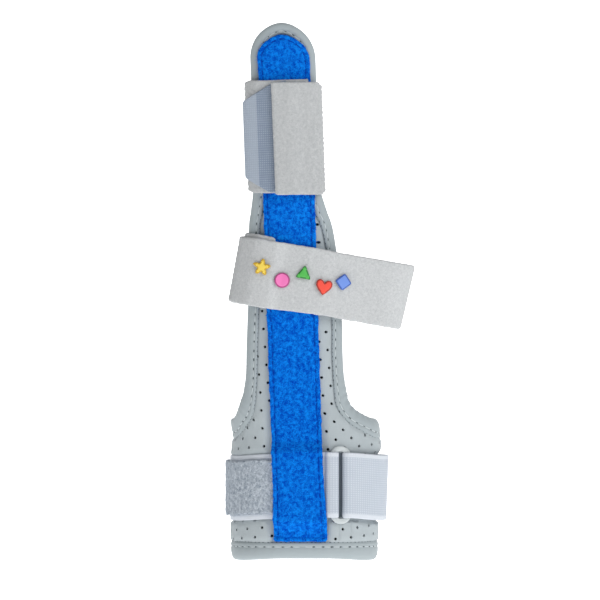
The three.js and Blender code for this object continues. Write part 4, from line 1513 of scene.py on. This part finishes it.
@dataclass
class WristStrap:
    """Webbing sewn under the strip, turned back at a ring and laid round the wrist, with a pile patch."""

    form: BraceForm
    width: float = 25.2
    thickness: float = 1.0
    height: float = 27.8
    ramp: float = 8.0
    tail_reach: float = 70.0
    root_inset: float = 2.0
    tape_top: float = 1.1
    pile_width: float = 20.8
    pile_thickness: float = 1.0
    pile_start: float = 11.2
    pile_ring_gap: float = 6.0
    ring_place: float = 13.8
    ring_width: float = 7.6
    ring_length: float = 30.1
    ring_bar: float = 1.8
    ring_thickness: float = 1.2
    fold_radius: float = 1.6
    # Half width and height of the dark sheet of painted shade under the ring's slot
    slot_reach: float = 2.2
    slot_level: float = 0.05
    ring_rise: float = 0.8
    rise_bell: Span = (8.0, 14.0)
    ring_shift: float = 0.6
    shift_reach: float = 9.0
    ring_squareness: float = 0.6
    end_sag: float = 0.8
    end_reach: float = 0.8
    end_flare: float = 0.035
    pile_reach: float = 0.45
    # Runs from the front where both ends start to sag and stand off, and where they are back in place
    right_start: Span = (16.0, 34.0)
    left_start: Span = (12.0, 30.0)
    back_in_place: Span = (55.0, 70.0)
    outer_ply: Span = (1.2, 2.4)
    fuzz: Fuzz = Fuzz(6000, 0.9, 0.05, 0.5, 0.3, 0.9)
    # Polyester webbing: a fine grid of pale threads with smooth, paler selvedges
    webbing: Finish = Weave(
        "woven_polyester_webbing", "b3bcc8", "d2d9e1", 0.75, across=0.84, along=0.84, depth=0.1,
        contrast=0.75, selvedge_and_lit_end="d3d9e1", band_axis="Y", band_middle=27.8, band_half=10.9,
    )
    # Painted shade in the ring's slot: a dark sheet laid under the slot, drawn as woven nylon like the
    # strap's hooked inner end
    hook: Finish = Weave("painted_slot_shade", "75808a", "87929c", 0.9, across=0.7, along=0.9, contrast=0.4)
    # Brushed nylon loop: matt blue-grey, mottled by tufts that lean apart
    pile: Finish = Pile(
        "brushed_nylon_loop_grey", "87929f", "c9d1d9", 0.95, specular=0.05, tuft=1.3, fibre=0.45, depth=0.4,
        spread=0.1,
    )
    # Loose nylon fibres: pale, so the patch's edge is ragged
    fibres: Finish = Pile(
        "loose_nylon_fibre_grey", "9aa5b1", "c6cdd5", 0.9, specular=0.05, tuft=1.2, fibre=0.5, depth=0.05,
    )
    # Moulded polypropylene: milky, slightly see-through and glossy
    plastic: Finish = Smooth(
        "moulded_milky_polypropylene", "ccd4d6", "d8dfe1", 0.3, specular=0.5, through=0.2, grain=2.0,
        depth=0.01,
    )

    def rest(self, across: Array) -> Array:
        """Gives the lie of the lower ply, raised over the cuff's taped ends.

        Args:
            across: Runs across the flat pattern.

        Returns:
            The heights of its underside.
        """
        from_palm = np.abs(np.abs(across) - self.form.girth / 2)
        near = self.form.cuff_palm_gap / 2 + self.form.tape_width + 2 * GAP
        return lerp(self.tape_top + GAP, GAP, smoothstep(from_palm, near, near + self.ramp))

    def wrap(self, across: Array, z: Array, off: Array) -> Array:
        """Places the strap, which sags at both ends and whose free end stands off.

        Args:
            across: Runs across the flat pattern.
            z: Heights.
            off: Heights off the panel's outer face.

        Returns:
            The places on the body.
        """
        girth = self.form.girth
        turned = across - girth * np.round(across / girth)
        right = window(turned, *self.right_start, *self.back_in_place)
        left = window(-turned, *self.left_start, *self.back_in_place)
        free = right * (self.end_reach + self.end_flare * (z - self.height)) + left * self.pile_reach
        free = free * smoothstep(off, *self.outer_ply)
        rise = self.ring_rise * bell(turned, *self.rise_bell) - self.end_sag * (right + left)
        shift = self.ring_shift * bell(turned, self.ring_place, self.shift_reach)
        return self.form.wrap(across - shift, z + rise, off + free)

    def slot_rest(self, across: Array, z: Array) -> float:
        """Returns the height of the dark sheet of painted shade that is seen through the ring's slot."""
        return self.slot_level

    def pile_rest(self, across: Array, z: Array) -> Array:
        """Returns the height of the pile patch's underside."""
        return self.rest(across) + self.thickness + GAP

    def path(self) -> Array:
        """Draws the webbing's centreline, from under the strip to the ring, back and round.

        Returns:
            Its runs across the panel and heights off it.
        """
        half, radius, girth = self.thickness / 2, self.fold_radius, self.form.girth
        fold_top, centre = GAP + half + 2 * radius, GAP + half + radius
        inset = self.ring_bar / 2 + GAP + half - radius
        near_edge = self.ring_place - self.ring_width / 2
        near_bar, far_bar = near_edge + self.ring_bar / 2, near_edge + self.ring_width - self.ring_bar / 2
        turn = np.linspace(0, math.pi, 17)
        bulge, lift = radius * np.sin(turn), centre + radius * np.cos(turn)
        near = np.column_stack([near_bar + inset + bulge, lift])
        far = np.column_stack([far_bar - inset - bulge, lift])[::-1]
        under = 2 * GAP + self.thickness + half
        root = float(self.form.strip_middle(self.height)) - self.form.strip_width / 2 + self.root_inset
        rise_end = near_edge - GAP
        root_end = rise_end - radius
        ply = steps(root, root_end, 2.0)
        rise = steps(root_end, rise_end, 0.3)[1:]
        low = steps(far[0, 0] + 1 - girth, near[-1, 0] - 1, 2.0)[::-1]
        tail = steps(far[-1, 0] + 1, self.tail_reach, 2.0)
        rest = self.rest(tail) + self.thickness + GAP + self.pile_thickness + GAP + half
        top = lerp(fold_top, rest, smoothstep(tail, far[-1, 0], far[-1, 0] + self.ramp))
        return np.vstack([
            np.column_stack([ply, np.full(len(ply), under)]),
            np.column_stack([rise, lerp(under, fold_top, smoothstep(rise, root_end, rise_end))]),
            near,
            np.column_stack([low, self.rest(low) + half]),
            far - (girth, 0),
            np.column_stack([tail - girth, top]),
        ])

    def section(self, soft: float) -> Array:
        """Draws the webbing's rounded section.

        Args:
            soft: How far its edges are rounded.

        Returns:
            Heights on the body and distances square to the path.
        """
        low, high, half = self.height - self.width / 2, self.height + self.width / 2, self.thickness / 2
        level = steps(low + soft, high - soft, 1.5)
        turn = np.linspace(-math.pi / 2, math.pi / 2, 7)
        right = np.column_stack([high - soft + soft * np.cos(turn), half * np.sin(turn)])
        left = np.column_stack([low + soft - soft * np.cos(turn), -half * np.sin(turn)])
        inner = level[1:-1]
        flat = np.full(len(inner), half)
        below, above = np.column_stack([inner, -flat]), np.column_stack([inner[::-1], flat])
        return np.vstack([below, right, above, left])

    def build(self) -> None:
        """Builds the webbing, its pile and the ring."""
        path = self.path()
        band = swept(path, self.section(soft=0.4), self.wrap)
        # A dark sheet under the ring's slot: painted shade for the gap between the plies, drawn as the
        # strap's hooked end
        left, right = self.ring_place - self.slot_reach, self.ring_place + self.slot_reach
        low, high = self.height - self.width / 2 + GAP, self.height + self.width / 2 - GAP
        corners = [(left, low), (right, low), (right, high), (left, high)]
        edge, thin = rounded(corners, [GAP] * 4), self.thickness / 2
        end = Patch(edge, STRAP_STEP, thin, self.slot_rest, self.wrap, HARD_EDGE).shape()
        end.looks = [1] * len(end.faces)
        name, replaced = "wrist_webbing", ("wrist_strap",)
        piece = make_piece(name, band.joined(end), [self.webbing, self.hook], Slot.WEBBING, replaced)
        end = self.ring_place + self.ring_width / 2 + self.pile_ring_gap - self.form.girth
        low, high = self.height - self.pile_width / 2, self.height + self.pile_width / 2
        corners = [(end, low), (-self.pile_start, low), (-self.pile_start, high), (end, high)]
        outline = frayed(rounded(corners, [1.0] * 4), step=0.8, depth=0.36, seed=31)
        patch = Patch(outline, STRAP_STEP, self.pile_thickness, self.pile_rest, self.wrap)
        pile, fibres = make_pile(
            ("wrist_pile_patch", "wrist_pile_fibres"), patch, self.fuzz, (self.pile, self.fibres),
            Slot.PILE, ("wrist_strap_pile",), seed=32,
        )
        make_piece("slot_ring", self.ring(), [self.plastic], Slot.PLASTIC, ("strap_ring",))

    def ring(self) -> Shape:
        """Makes the slot ring, a rounded bar bent to a long loop.

        Returns:
            Its shape.
        """
        half, straight = self.ring_width / 2, self.ring_length / 2 - self.ring_width / 2
        inner, reach = half - self.ring_bar, self.width / 2 + GAP
        turn = np.linspace(0, math.pi, 24)
        outer_top = np.column_stack([half * np.cos(turn), straight + half * np.sin(turn)])
        inner_top = np.column_stack([inner * np.cos(turn), reach - inner + inner * np.sin(turn)])
        outer, hollow = np.vstack([outer_top, -outer_top]), np.vstack([inner_top, -inner_top])
        level = GAP + self.thickness / 2 + self.fold_radius
        points, square = [], self.ring_squareness
        for angle in np.arange(BAR_SIDES) / BAR_SIDES * math.tau:
            out = (np.sign(math.cos(angle)) * abs(math.cos(angle)) ** square + 1) / 2
            lift = np.sign(math.sin(angle)) * abs(math.sin(angle)) ** square * self.ring_thickness / 2
            flat = lerp(hollow, outer, out) + (self.ring_place, self.height)
            points.append(self.wrap(flat[:, 0], flat[:, 1], np.full(len(flat), level + lift)))
        made = np.vstack(points)
        return Shape(made, tube_faces(BAR_SIDES, len(outer), closed=True), made[:, [0, 2]])


@dataclass
class LoopedStrap:
    """Common ground of the two plush straps: a belt round the panel and the limb, on a tilted frame."""

    form: BraceForm
    strip: BlueStrip
    panel: Panel
    soften: float = 0.6

    def guards(
        self, middle: tuple[float, float], tilt: float, low: float, high: float
    ) -> list[tuple[float, float, float]]:
        """Returns small discs that keep a strap clear of the panel's edges and of the blue strip.

        Args:
            middle: The frame's middle, across and up.
            tilt: The frame's tilt.
            low: Lowest height at which the panel is guarded.
            high: Highest height.

        Returns:
            Middles and radii of the discs.
        """
        found = []
        top = GAP + self.panel.tape_thickness
        bottom = -self.panel.depth - self.panel.tape_back_gap - self.panel.tape_thickness
        for z in np.linspace(low, high, 5):
            edge, strip = float(self.form.half_width_at(z)), self.form.strip_width / 2
            over = float(self.strip.rest(z)) + self.strip.thickness
            middle_at, flat = float(self.form.strip_middle(z)), float(self.form.section_at(z)[0])
            for side in (-1, 1):
                spots = (
                    (side * (edge - self.soften), top - self.soften),
                    (side * edge * 0.97, bottom + self.soften),
                    (side * (strip - self.soften) + middle_at, over - self.soften),
                    (side * flat + middle_at, over - self.soften),
                )
                for across, off in spots:
                    x, y, up = self.form.wrap(np.array([across]), np.array([z]), np.array([off]))[0]
                    local = (x - middle[0]) * math.cos(tilt) - (up - middle[1]) * math.sin(tilt)
                    found.append((local, y, self.soften * math.sqrt(2) + GAP))
        return found

    def placer(self, spot: Spot, middle: tuple[float, float], tilt: float) -> Place:
        """Returns the placing of flat points on a strap's loop.

        Args:
            spot: Places in the loop's plane of runs and heights.
            middle: The frame's middle, across and up.
            tilt: The frame's tilt.

        Returns:
            The place on the body of runs along the strap, rises and heights.
        """

        def place(along: Array, rise: Array, off: Array) -> Array:
            """Places points of the strap on its tilted loop.

            Args:
                along: Runs along the strap.
                rise: Rises over the strap's middle.
                off: Heights off the loop.

            Returns:
                The places on the body.
            """
            side, depth = spot(along, off).T
            x = middle[0] + side * math.cos(tilt) + rise * math.sin(tilt)
            return np.column_stack([x, depth, middle[1] - side * math.sin(tilt) + rise * math.cos(tilt)])

        return place

    def straightened(self, belt: Belt, middle: float, share: float) -> Spot:
        """Returns places on a belt for a stiff piece, which stays partly flat where the belt turns.

        Args:
            belt: The strap's belt.
            middle: The run at which the stiff piece lies on the belt.
            share: How flat it stays, from 0 to 1.

        Returns:
            The places of runs along the belt and heights off it.
        """

        def spot(along: Array, off: Array) -> Array:
            """Places points between the belt and the straight line along it.

            Args:
                along: Runs along the strap.
                off: Heights off the loop.

            Returns:
                The places in the belt's plane.
            """
            along = np.asarray(along, float)
            here = belt.at(np.full(len(along), middle), off)
            before, after = (belt.at(np.full(1, middle + step), np.zeros(1)) for step in (-0.5, 0.5))
            ahead = (after - before) / np.linalg.norm(after - before)
            return lerp(belt.at(along, off), here + (along - middle)[:, None] * ahead, share)

        return spot


@dataclass
class FingerStrap(LoopedStrap):
    """Plush strap round the finger, its end closed by a woven hook tab."""

    width: float = 43.4
    height: float = 162.7
    thickness: float = 1.5
    root: float = 9.4
    end: float = -4.7
    finger_width: float = 14.4
    finger_depth: float = 14.0
    outer_drop: float = 0.85
    right_drop: float = 0.45
    drop_end: Span = (4.0, 20.0)
    fold_pinch: float = 0.055
    left_pinch_share: float = 0.6
    fold_reach: float = 2.4
    fold_ease: float = 12.0
    under_lift: float = 0.5
    lift_reach: float = 5.0
    tab_thickness: float = 0.8
    tab_end: float = -16.0
    tab_tuck: float = 6.0
    tab_shoulder: float = 1.1
    tab_top_chamfer: float = 7.6
    tab_low_chamfer: float = 6.0
    tab_stiffness: float = 0.9
    under_reach: float = 0.6
    under_span: float = 3.0
    ply_ramp: float = 5.0
    fuzz: Fuzz = Fuzz(8000, 0.55, 0.04, 0.5, 0.3)
    # Brushed polyester plush: short, even, soft grey pile that dims evenly towards its folds
    plush: Finish = Pile(
        "brushed_polyester_plush", "a8abad", "c4c6c7", 0.95, specular=0.05, tuft=1.3, fibre=0.5, depth=0.2,
        spread=0.16,
    )
    # Loose polyester fibres: paler than the ground, a soft fringe on the cut edges
    fibres: Finish = Pile(
        "loose_polyester_fibre", "bfc2c3", "d6d8d8", 0.9, specular=0.05, tuft=1.2, fibre=0.5, depth=0.05,
    )
    # Woven nylon behind hooks: slate threads crossed by paler picks, with painted light paling its left end
    # where it turns round the side
    hook: Finish = Weave(
        "woven_nylon_hook_tape", "768397", "a3afbe", 0.8, across=0.78, along=0.86, depth=0.12, contrast=0.7,
        # The paler tone beyond the band is painted light, on the tab's left end that turns round the side
        mottle=2.5, rows=0.15, selvedge_and_lit_end="b6bfca", selvedge_and_lit_end_share=0.5, band_middle=9.6, band_half=20.0,
    )

    def rest(self, along: Array, rise: Array) -> Array:
        """Gives the strap's lie over its own root and, at its end, over the hook tab.

        Args:
            along: Runs along the strap.
            rise: Rises over the strap's middle; not used.

        Returns:
            The heights off the loop.
        """
        over_root = 1 - smoothstep(along, self.root + GAP, self.root + GAP + self.ply_ramp)
        edge = self.end + self.tab_tuck + GAP
        over_tab = 1 - smoothstep(along, edge, edge + self.ply_ramp)
        return over_root * (self.thickness + GAP) + over_tab * (self.tab_thickness + GAP)

    def tab_rest(self, along: Array, rise: Array) -> float:
        """Returns the height of the tab's underside off the loop."""
        return self.thickness + GAP

    def build(self) -> None:
        """Builds the strap and its tab."""
        middle, tilt = (float(self.form.spine_at(self.height)), self.height), -self.form.lean
        half = self.width / 2
        discs = self.guards(middle, tilt, self.height - half, self.height + half)
        back = self.panel.depth + GAP + self.finger_depth - self.form.cuff_half_depth
        radius = self.finger_width / 2
        belt = Belt(np.array(discs + [(0, back - radius, radius)]))
        place = self.placer(belt.at, middle, tilt)
        fold, left_fold = belt.folds()
        under, reach, ease = belt.girth + left_fold, self.fold_reach, self.fold_ease

        def laid(along: Array, rise: Array, off: Array) -> Array:
            """Places the strap, its outer end lower and its edges drawn in at the folds.

            Args:
                along: Runs along the strap.
                rise: Rises over the strap's middle.
                off: Heights off the loop.

            Returns:
                The places on the body.
            """
            drop = self.outer_drop + self.right_drop * smoothstep(along, self.end, fold)
            drop = drop * (1 - smoothstep(along, *(fold + step for step in self.drop_end)))
            right = window(along, fold - reach, fold, fold, fold + ease)
            left = window(along, under - ease, under, under, under + reach)
            drawn = 1 - self.fold_pinch * (right + self.left_pinch_share * left)
            lift = self.under_lift * bell(along, under, self.lift_reach)
            out = self.under_reach * bell(along, under, self.under_span)
            return place(along, rise * drawn - drop + lift, off + out)

        finish = belt.girth + self.root
        slant = (self.end + 0.5, self.end + 0.25)
        corners = [(slant[0], -half), (finish, -half), (finish, half), (slant[1], half)]
        outline = frayed(rounded(corners, [0.7] * 4), step=0.9, depth=0.04, seed=41)
        patch = Patch(outline, STRAP_STEP, self.thickness, self.rest, laid)
        piece, fibres = make_pile(
            ("plush_finger_strap", "finger_strap_fibres"), patch, self.fuzz, (self.plush, self.fibres),
            Slot.PLUSH, ("finger_strap",), seed=42,
        )
        low, tuck = half - GAP, self.end + self.tab_tuck
        corners = [
            (tuck, -low), (tuck, low), (self.end, low - self.tab_shoulder),
            (self.tab_end, low - self.tab_top_chamfer), (self.tab_end, self.tab_low_chamfer - low),
            (self.end - self.tab_low_chamfer / 3, -low),
        ]
        outline = rounded(corners, [0.4, 0.4, 0.6, 1.0, 1.0, 0.8])
        flat = self.placer(self.straightened(belt, self.end - 1, self.tab_stiffness), middle, tilt)
        tab = Patch(outline, STRAP_STEP, self.tab_thickness, self.tab_rest, flat, PLY_EDGE)
        flap = make_piece("woven_hook_tab", tab.shape(), [self.hook], Slot.HOOK, ("finger_strap_tab",))


@dataclass
class Motif:
    """One soft moulded motif: its form, place on the strap, outline and colours."""

    form: str
    slot: Slot
    across: float
    up: float
    outline: Array
    low: str
    high: str
    rim: str


@dataclass
class HandStrap(LoopedStrap):
    """Plush strap round the palm with a wavy row of moulded motifs."""

    width: float = 25.1
    thickness: float = 1.5
    height: float = 106.5
    side: float = 6.5
    tilt: float = math.radians(10.3)
    right: float = 33.2
    root: float = -20.0
    tail: float = 36.0
    palm_depth: float = 24.0
    outer_radius: float = 11.5
    inner_radius: float = 8.0
    inner_reach: float = 27.0
    ply_ramp: float = 5.0
    ply_rise: float = 1.3
    ply_rise_span: Span = (-16.0, -4.0)
    left_spread: float = 0.035
    left_spread_span: Span = (-20.0, 5.0)
    left_drop: float = 0.8
    left_drop_span: Span = (-25.0, 0.0)
    right_reach: float = 0.9
    right_flare: float = 0.05
    flare_span: Span = (18.0, 40.0)
    fold_pinch: float = 0.03
    pinch_reach: float = 2.0
    badge_size: float = 6.4
    badge_thickness: float = 1.0
    badge_stiffness: float = 0.8
    rim_width: float = 0.56
    fuzz: Fuzz = Fuzz(9000, 0.5, 0.04, 0.5, 0.3)
    # Brushed polyester plush: short, even, soft grey pile, a shade paler than the finger strap's
    plush: Finish = Pile(
        "brushed_polyester_plush_band", "b3b6b8", "cfd1d2", 0.95, specular=0.05, tuft=1.0, fibre=0.45,
        depth=0.2, spread=0.16,
    )
    # Loose polyester fibres: a soft pale fringe on the cut edges
    fibres: Finish = Pile(
        "loose_polyester_fibre_band", "c3c6c7", "dadcdc", 0.9, specular=0.05, tuft=1.2, fibre=0.5, depth=0.05,
    )

    def rest(self, along: Array, rise: Array) -> Array:
        """Returns the height off the loop, over the strap's own first ply."""
        over = 1 - smoothstep(along, self.root + GAP, self.root + GAP + self.ply_ramp)
        return over * (self.thickness + GAP)

    def badge_rest(self, along: Array, rise: Array) -> Array:
        """Returns the height of a motif's underside off the loop."""
        return self.rest(along, rise) + self.thickness + GAP

    def regular(self, sides: int, scale: float) -> Array:
        """Draws a regular shape with slightly rounded corners.

        Args:
            sides: Number of its sides.
            scale: Its reach as a share of a motif's.

        Returns:
            Its outline.
        """
        size = self.badge_size / 2
        angles = -np.arange(sides) / sides * math.tau
        corners = [(float(math.sin(a) * scale * size), float(math.cos(a) * scale * size)) for a in angles]
        return rounded(corners, [size * 0.3] * sides)

    def heart(self) -> Array:
        """Draws a heart.

        Returns:
            Its outline.
        """
        t = np.linspace(0, 1, 10)[1:, None]
        knots = [(0, -1), (0.5, -0.55), (1.05, -0.1), (1, 0.4), (0.95, 0.95), (0.25, 1.05), (0, 0.45)]
        half = [np.array([[0.0, -1.0]])]
        for i in (0, 3):
            a, b, c, d = (np.array(k) for k in knots[i:i + 4])
            half.append((1 - t) ** 3 * a + 3 * t * (1 - t) ** 2 * b + 3 * t * t * (1 - t) * c + t**3 * d)
        side = np.vstack(half)
        return np.vstack([side, side[1:-1][::-1] * (-1, 1)]) * self.badge_size / 2

    def motifs(self) -> list[Motif]:
        """Lists the motifs in their order along the strap.

        Returns:
            The motifs.
        """
        turn = np.linspace(0, math.tau, 61)[:-1]
        circle = np.column_stack([-np.sin(turn), np.cos(turn)]) * self.badge_size / 2
        # Each form has its own share of a motif's size, so that all look equally large
        star, disc = (0.8 + 0.24 * np.cos(5 * turn))[:, None] * circle, 0.92 * circle
        three, four = self.regular(sides=3, scale=1.12), self.regular(sides=4, scale=1.08)
        return [
            Motif("star", Slot.YELLOW, -3.6, 0.25, star, "eecb42", "f6dc68", "c9a22c"),
            Motif("disc", Slot.PINK, -2.35, -0.3, disc, "e66ab0", "ee80bd", "a8457c"),
            Motif("triangle", Slot.GREEN, -1.15, 0.3, three, "4bb04a", "5cc05c", "2f7d36"),
            Motif("heart", Slot.RED, 0.1, -0.25, self.heart(), "e6402f", "ef5442", "a93226"),
            Motif("diamond", Slot.SKY, 1.25, 0.25, four, "6288d8", "7898e2", "3f5fae"),
        ]

    def build(self) -> None:
        """Builds the strap and its motifs."""
        middle = (self.side, self.height)
        reach = self.width / 2 + self.right * math.sin(self.tilt)
        discs = self.guards(middle, self.tilt, self.height - reach / 2, self.height + reach)
        back = self.panel.depth + GAP + self.palm_depth - self.form.cuff_half_depth
        outer = self.right - self.thickness - self.outer_radius
        discs += [
            (outer, back - self.outer_radius, self.outer_radius),
            (self.inner_radius - self.inner_reach, back - self.inner_radius, self.inner_radius),
        ]
        belt = Belt(np.array(discs))
        place = self.placer(belt.at, middle, self.tilt)
        half, start, finish = self.width / 2, self.root - self.tail, belt.girth + self.root
        folds = belt.folds()
        under = belt.girth + folds[1]

        def laid(along: Array, rise: Array, off: Array) -> Array:
            """Places the strap, its under ply higher and its edges drawn in at the folds.

            Args:
                along: Runs along the strap.
                rise: Rises over the strap's middle.
                off: Heights off the loop.

            Returns:
                The places on the body.
            """
            raised = self.ply_rise * smoothstep(along, *(under + step for step in self.ply_rise_span))
            raised = raised - self.left_drop * (1 - smoothstep(along, *self.left_drop_span))
            drawn = 1 - self.fold_pinch * sum(bell(along, fold, self.pinch_reach) for fold in (*folds, under))
            drawn = drawn + self.left_spread * (1 - smoothstep(along, *self.left_spread_span))
            points = place(along, rise * drawn + raised, off)
            flare = smoothstep(points[:, 0], *self.flare_span)
            points[:, 0] += flare * (self.right_reach + self.right_flare * rise)
            return points

        corners = [(start, -half), (finish, -half), (finish, half), (start, half)]
        outline = frayed(rounded(corners, [2.0] * 4), step=0.9, depth=0.08, seed=51)
        patch = Patch(outline, STRAP_STEP, self.thickness, self.rest, laid)
        piece, fibres = make_pile(
            ("plush_hand_strap", "hand_strap_fibres"), patch, self.fuzz, (self.plush, self.fibres),
            Slot.PLUSH, ("hand_strap",), seed=52,
        )
        for motif in self.motifs():
            spot = np.array([motif.across, motif.up]) * self.badge_size
            stiff = self.straightened(belt, float(spot[0]), self.badge_stiffness)
            puff = Patch(
                motif.outline + spot, 0.5, self.badge_thickness, self.badge_rest,
                self.placer(stiff, middle, self.tilt), PUFFED_EDGE, edge_look=self.rim_width,
            )
            # Soft moulded PVC: bright and slightly glossy, with a darker rim round a swelling face
            gloss = {"specular": 0.4, "grain": 1.0}
            body = Smooth("soft_pvc_motif_" + motif.form, motif.low, motif.high, 0.4, depth=0.01, **gloss)
            rim = Smooth("soft_pvc_rim_motif_" + motif.form, motif.rim, motif.rim, 0.45, **gloss)
            name, replaced = "motif_" + motif.form, ("badge_" + motif.form,)
            make_piece(name, puff.shape(), [body, rim], motif.slot, replaced)


# Light, floor and camera

@dataclass
class Studio:
    """Pale sweep, soft lights and a long lens that looks straight at the back of the hand."""

    lens: float = 400.0
    sensor: float = 36.0
    frame_width: float = 231.0
    middle: tuple[float, float] = (-1.73, 99.7)
    front: float = -22.0
    floor: float = -260.0
    room: float = 0.34
    far_clip: float = 50.0
    aim: tuple[float, float, float] = (0.0, 0.0, 0.1)
    paper_glow: float = 0.9
    half_width: float = 5.0
    rise_start: float = 3.6
    rise_radius: float = 0.8
    # Each lamp's name, place and size in metres, and power in watts
    lamps: tuple[tuple[str, tuple[float, float, float], float, float], ...] = (
        ("key", (0.85, -0.85, 0.7), 0.9, 6.4),
        ("fill", (-0.8, -0.8, 0.3), 1.1, 0.2),
    )

    def build(self) -> None:
        """Builds the sweep, the lights and the camera."""
        scene = bpy.context.scene
        scene.view_settings.view_transform = "Standard"
        world = bpy.data.worlds.new("soft_room")
        world.use_nodes = True
        world.node_tree.nodes["Background"].inputs["Color"].default_value = (1, 1, 1, 1)
        world.node_tree.nodes["Background"].inputs["Strength"].default_value = self.room
        scene.world = world
        self.sweep()
        for name, place, size, power in self.lamps:
            light = bpy.data.lights.new(name, "AREA")
            light.shape = "DISK"
            light.size = size
            light.energy = power
            lamp = bpy.data.objects.new(name, light)
            lamp.location = place
            lamp.rotation_mode = "QUATERNION"
            lamp.rotation_quaternion = (Vector(place) - Vector(self.aim)).to_track_quat("Z", "Y")
            scene.collection.objects.link(lamp)
        data = bpy.data.cameras.new("view")
        data.lens, data.sensor_width = self.lens, self.sensor
        data.clip_end = self.far_clip
        camera = bpy.data.objects.new("view", data)
        distance = self.frame_width / 2 * self.lens / (self.sensor / 2)
        camera.location = (self.middle[0] * MM, (self.front - distance) * MM, self.middle[1] * MM)
        camera.rotation_euler = (math.pi / 2, 0, 0)
        scene.collection.objects.link(camera)
        scene.camera = camera

    def sweep(self) -> None:
        """Builds the pale floor with its curved rise behind."""
        turn, floor = np.linspace(0, math.pi / 2, 12), self.floor * MM
        radius, wide = self.rise_radius, self.half_width
        start = self.rise_start
        curve = [(start + radius * math.sin(t), floor + radius - radius * math.cos(t)) for t in turn]
        profile = [(-wide, floor), *curve, (start + radius, wide)]
        points = [(x, y, z) for y, z in profile for x in (-wide, wide)]
        faces = [(2 * i, 2 * i + 1, 2 * i + 3, 2 * i + 2) for i in range(len(profile) - 1)]
        mesh = bpy.data.meshes.new("sweep")
        mesh.from_pydata(points, [], faces)
        mesh.shade_smooth()
        # White background paper: bright enough to burn out to white as in a high-key picture
        material = bpy.data.materials.new("white_paper_sweep")
        material.use_nodes = True
        surface = material.node_tree.nodes["Principled BSDF"]
        surface.inputs["Base Color"].default_value = (0.9, 0.9, 0.9, 1)
        surface.inputs["Roughness"].default_value = 0.9
        surface.inputs["Emission Color"].default_value = (1, 1, 1, 1)
        surface.inputs["Emission Strength"].default_value = self.paper_glow
        mesh.materials.append(material)
        sweep = bpy.data.objects.new("sweep", mesh)
        bpy.context.scene.collection.objects.link(sweep)
        sweep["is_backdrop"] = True


def write_sizes() -> None:
    """Works out the CAD box and the box of what is shown, and keeps neither."""
    boxes = {"cad": CAD_BOUNDS, "visual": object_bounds()}
    {name: [list(corner) for corner in box] for name, box in boxes.items()}


def main() -> None:
    """Builds every piece, the lights and the camera."""
    logging.basicConfig(level=logging.INFO, format="%(message)s")
    Studio().build()
    form = BraceForm()
    panel = Panel(form)
    strip = BlueStrip(form)
    panel.build()
    strip.build()
    WristStrap(form).build()
    FingerStrap(form, strip, panel).build()
    HandStrap(form, strip, panel).build()
    write_sizes()


if __name__ == "__main__":
    main()
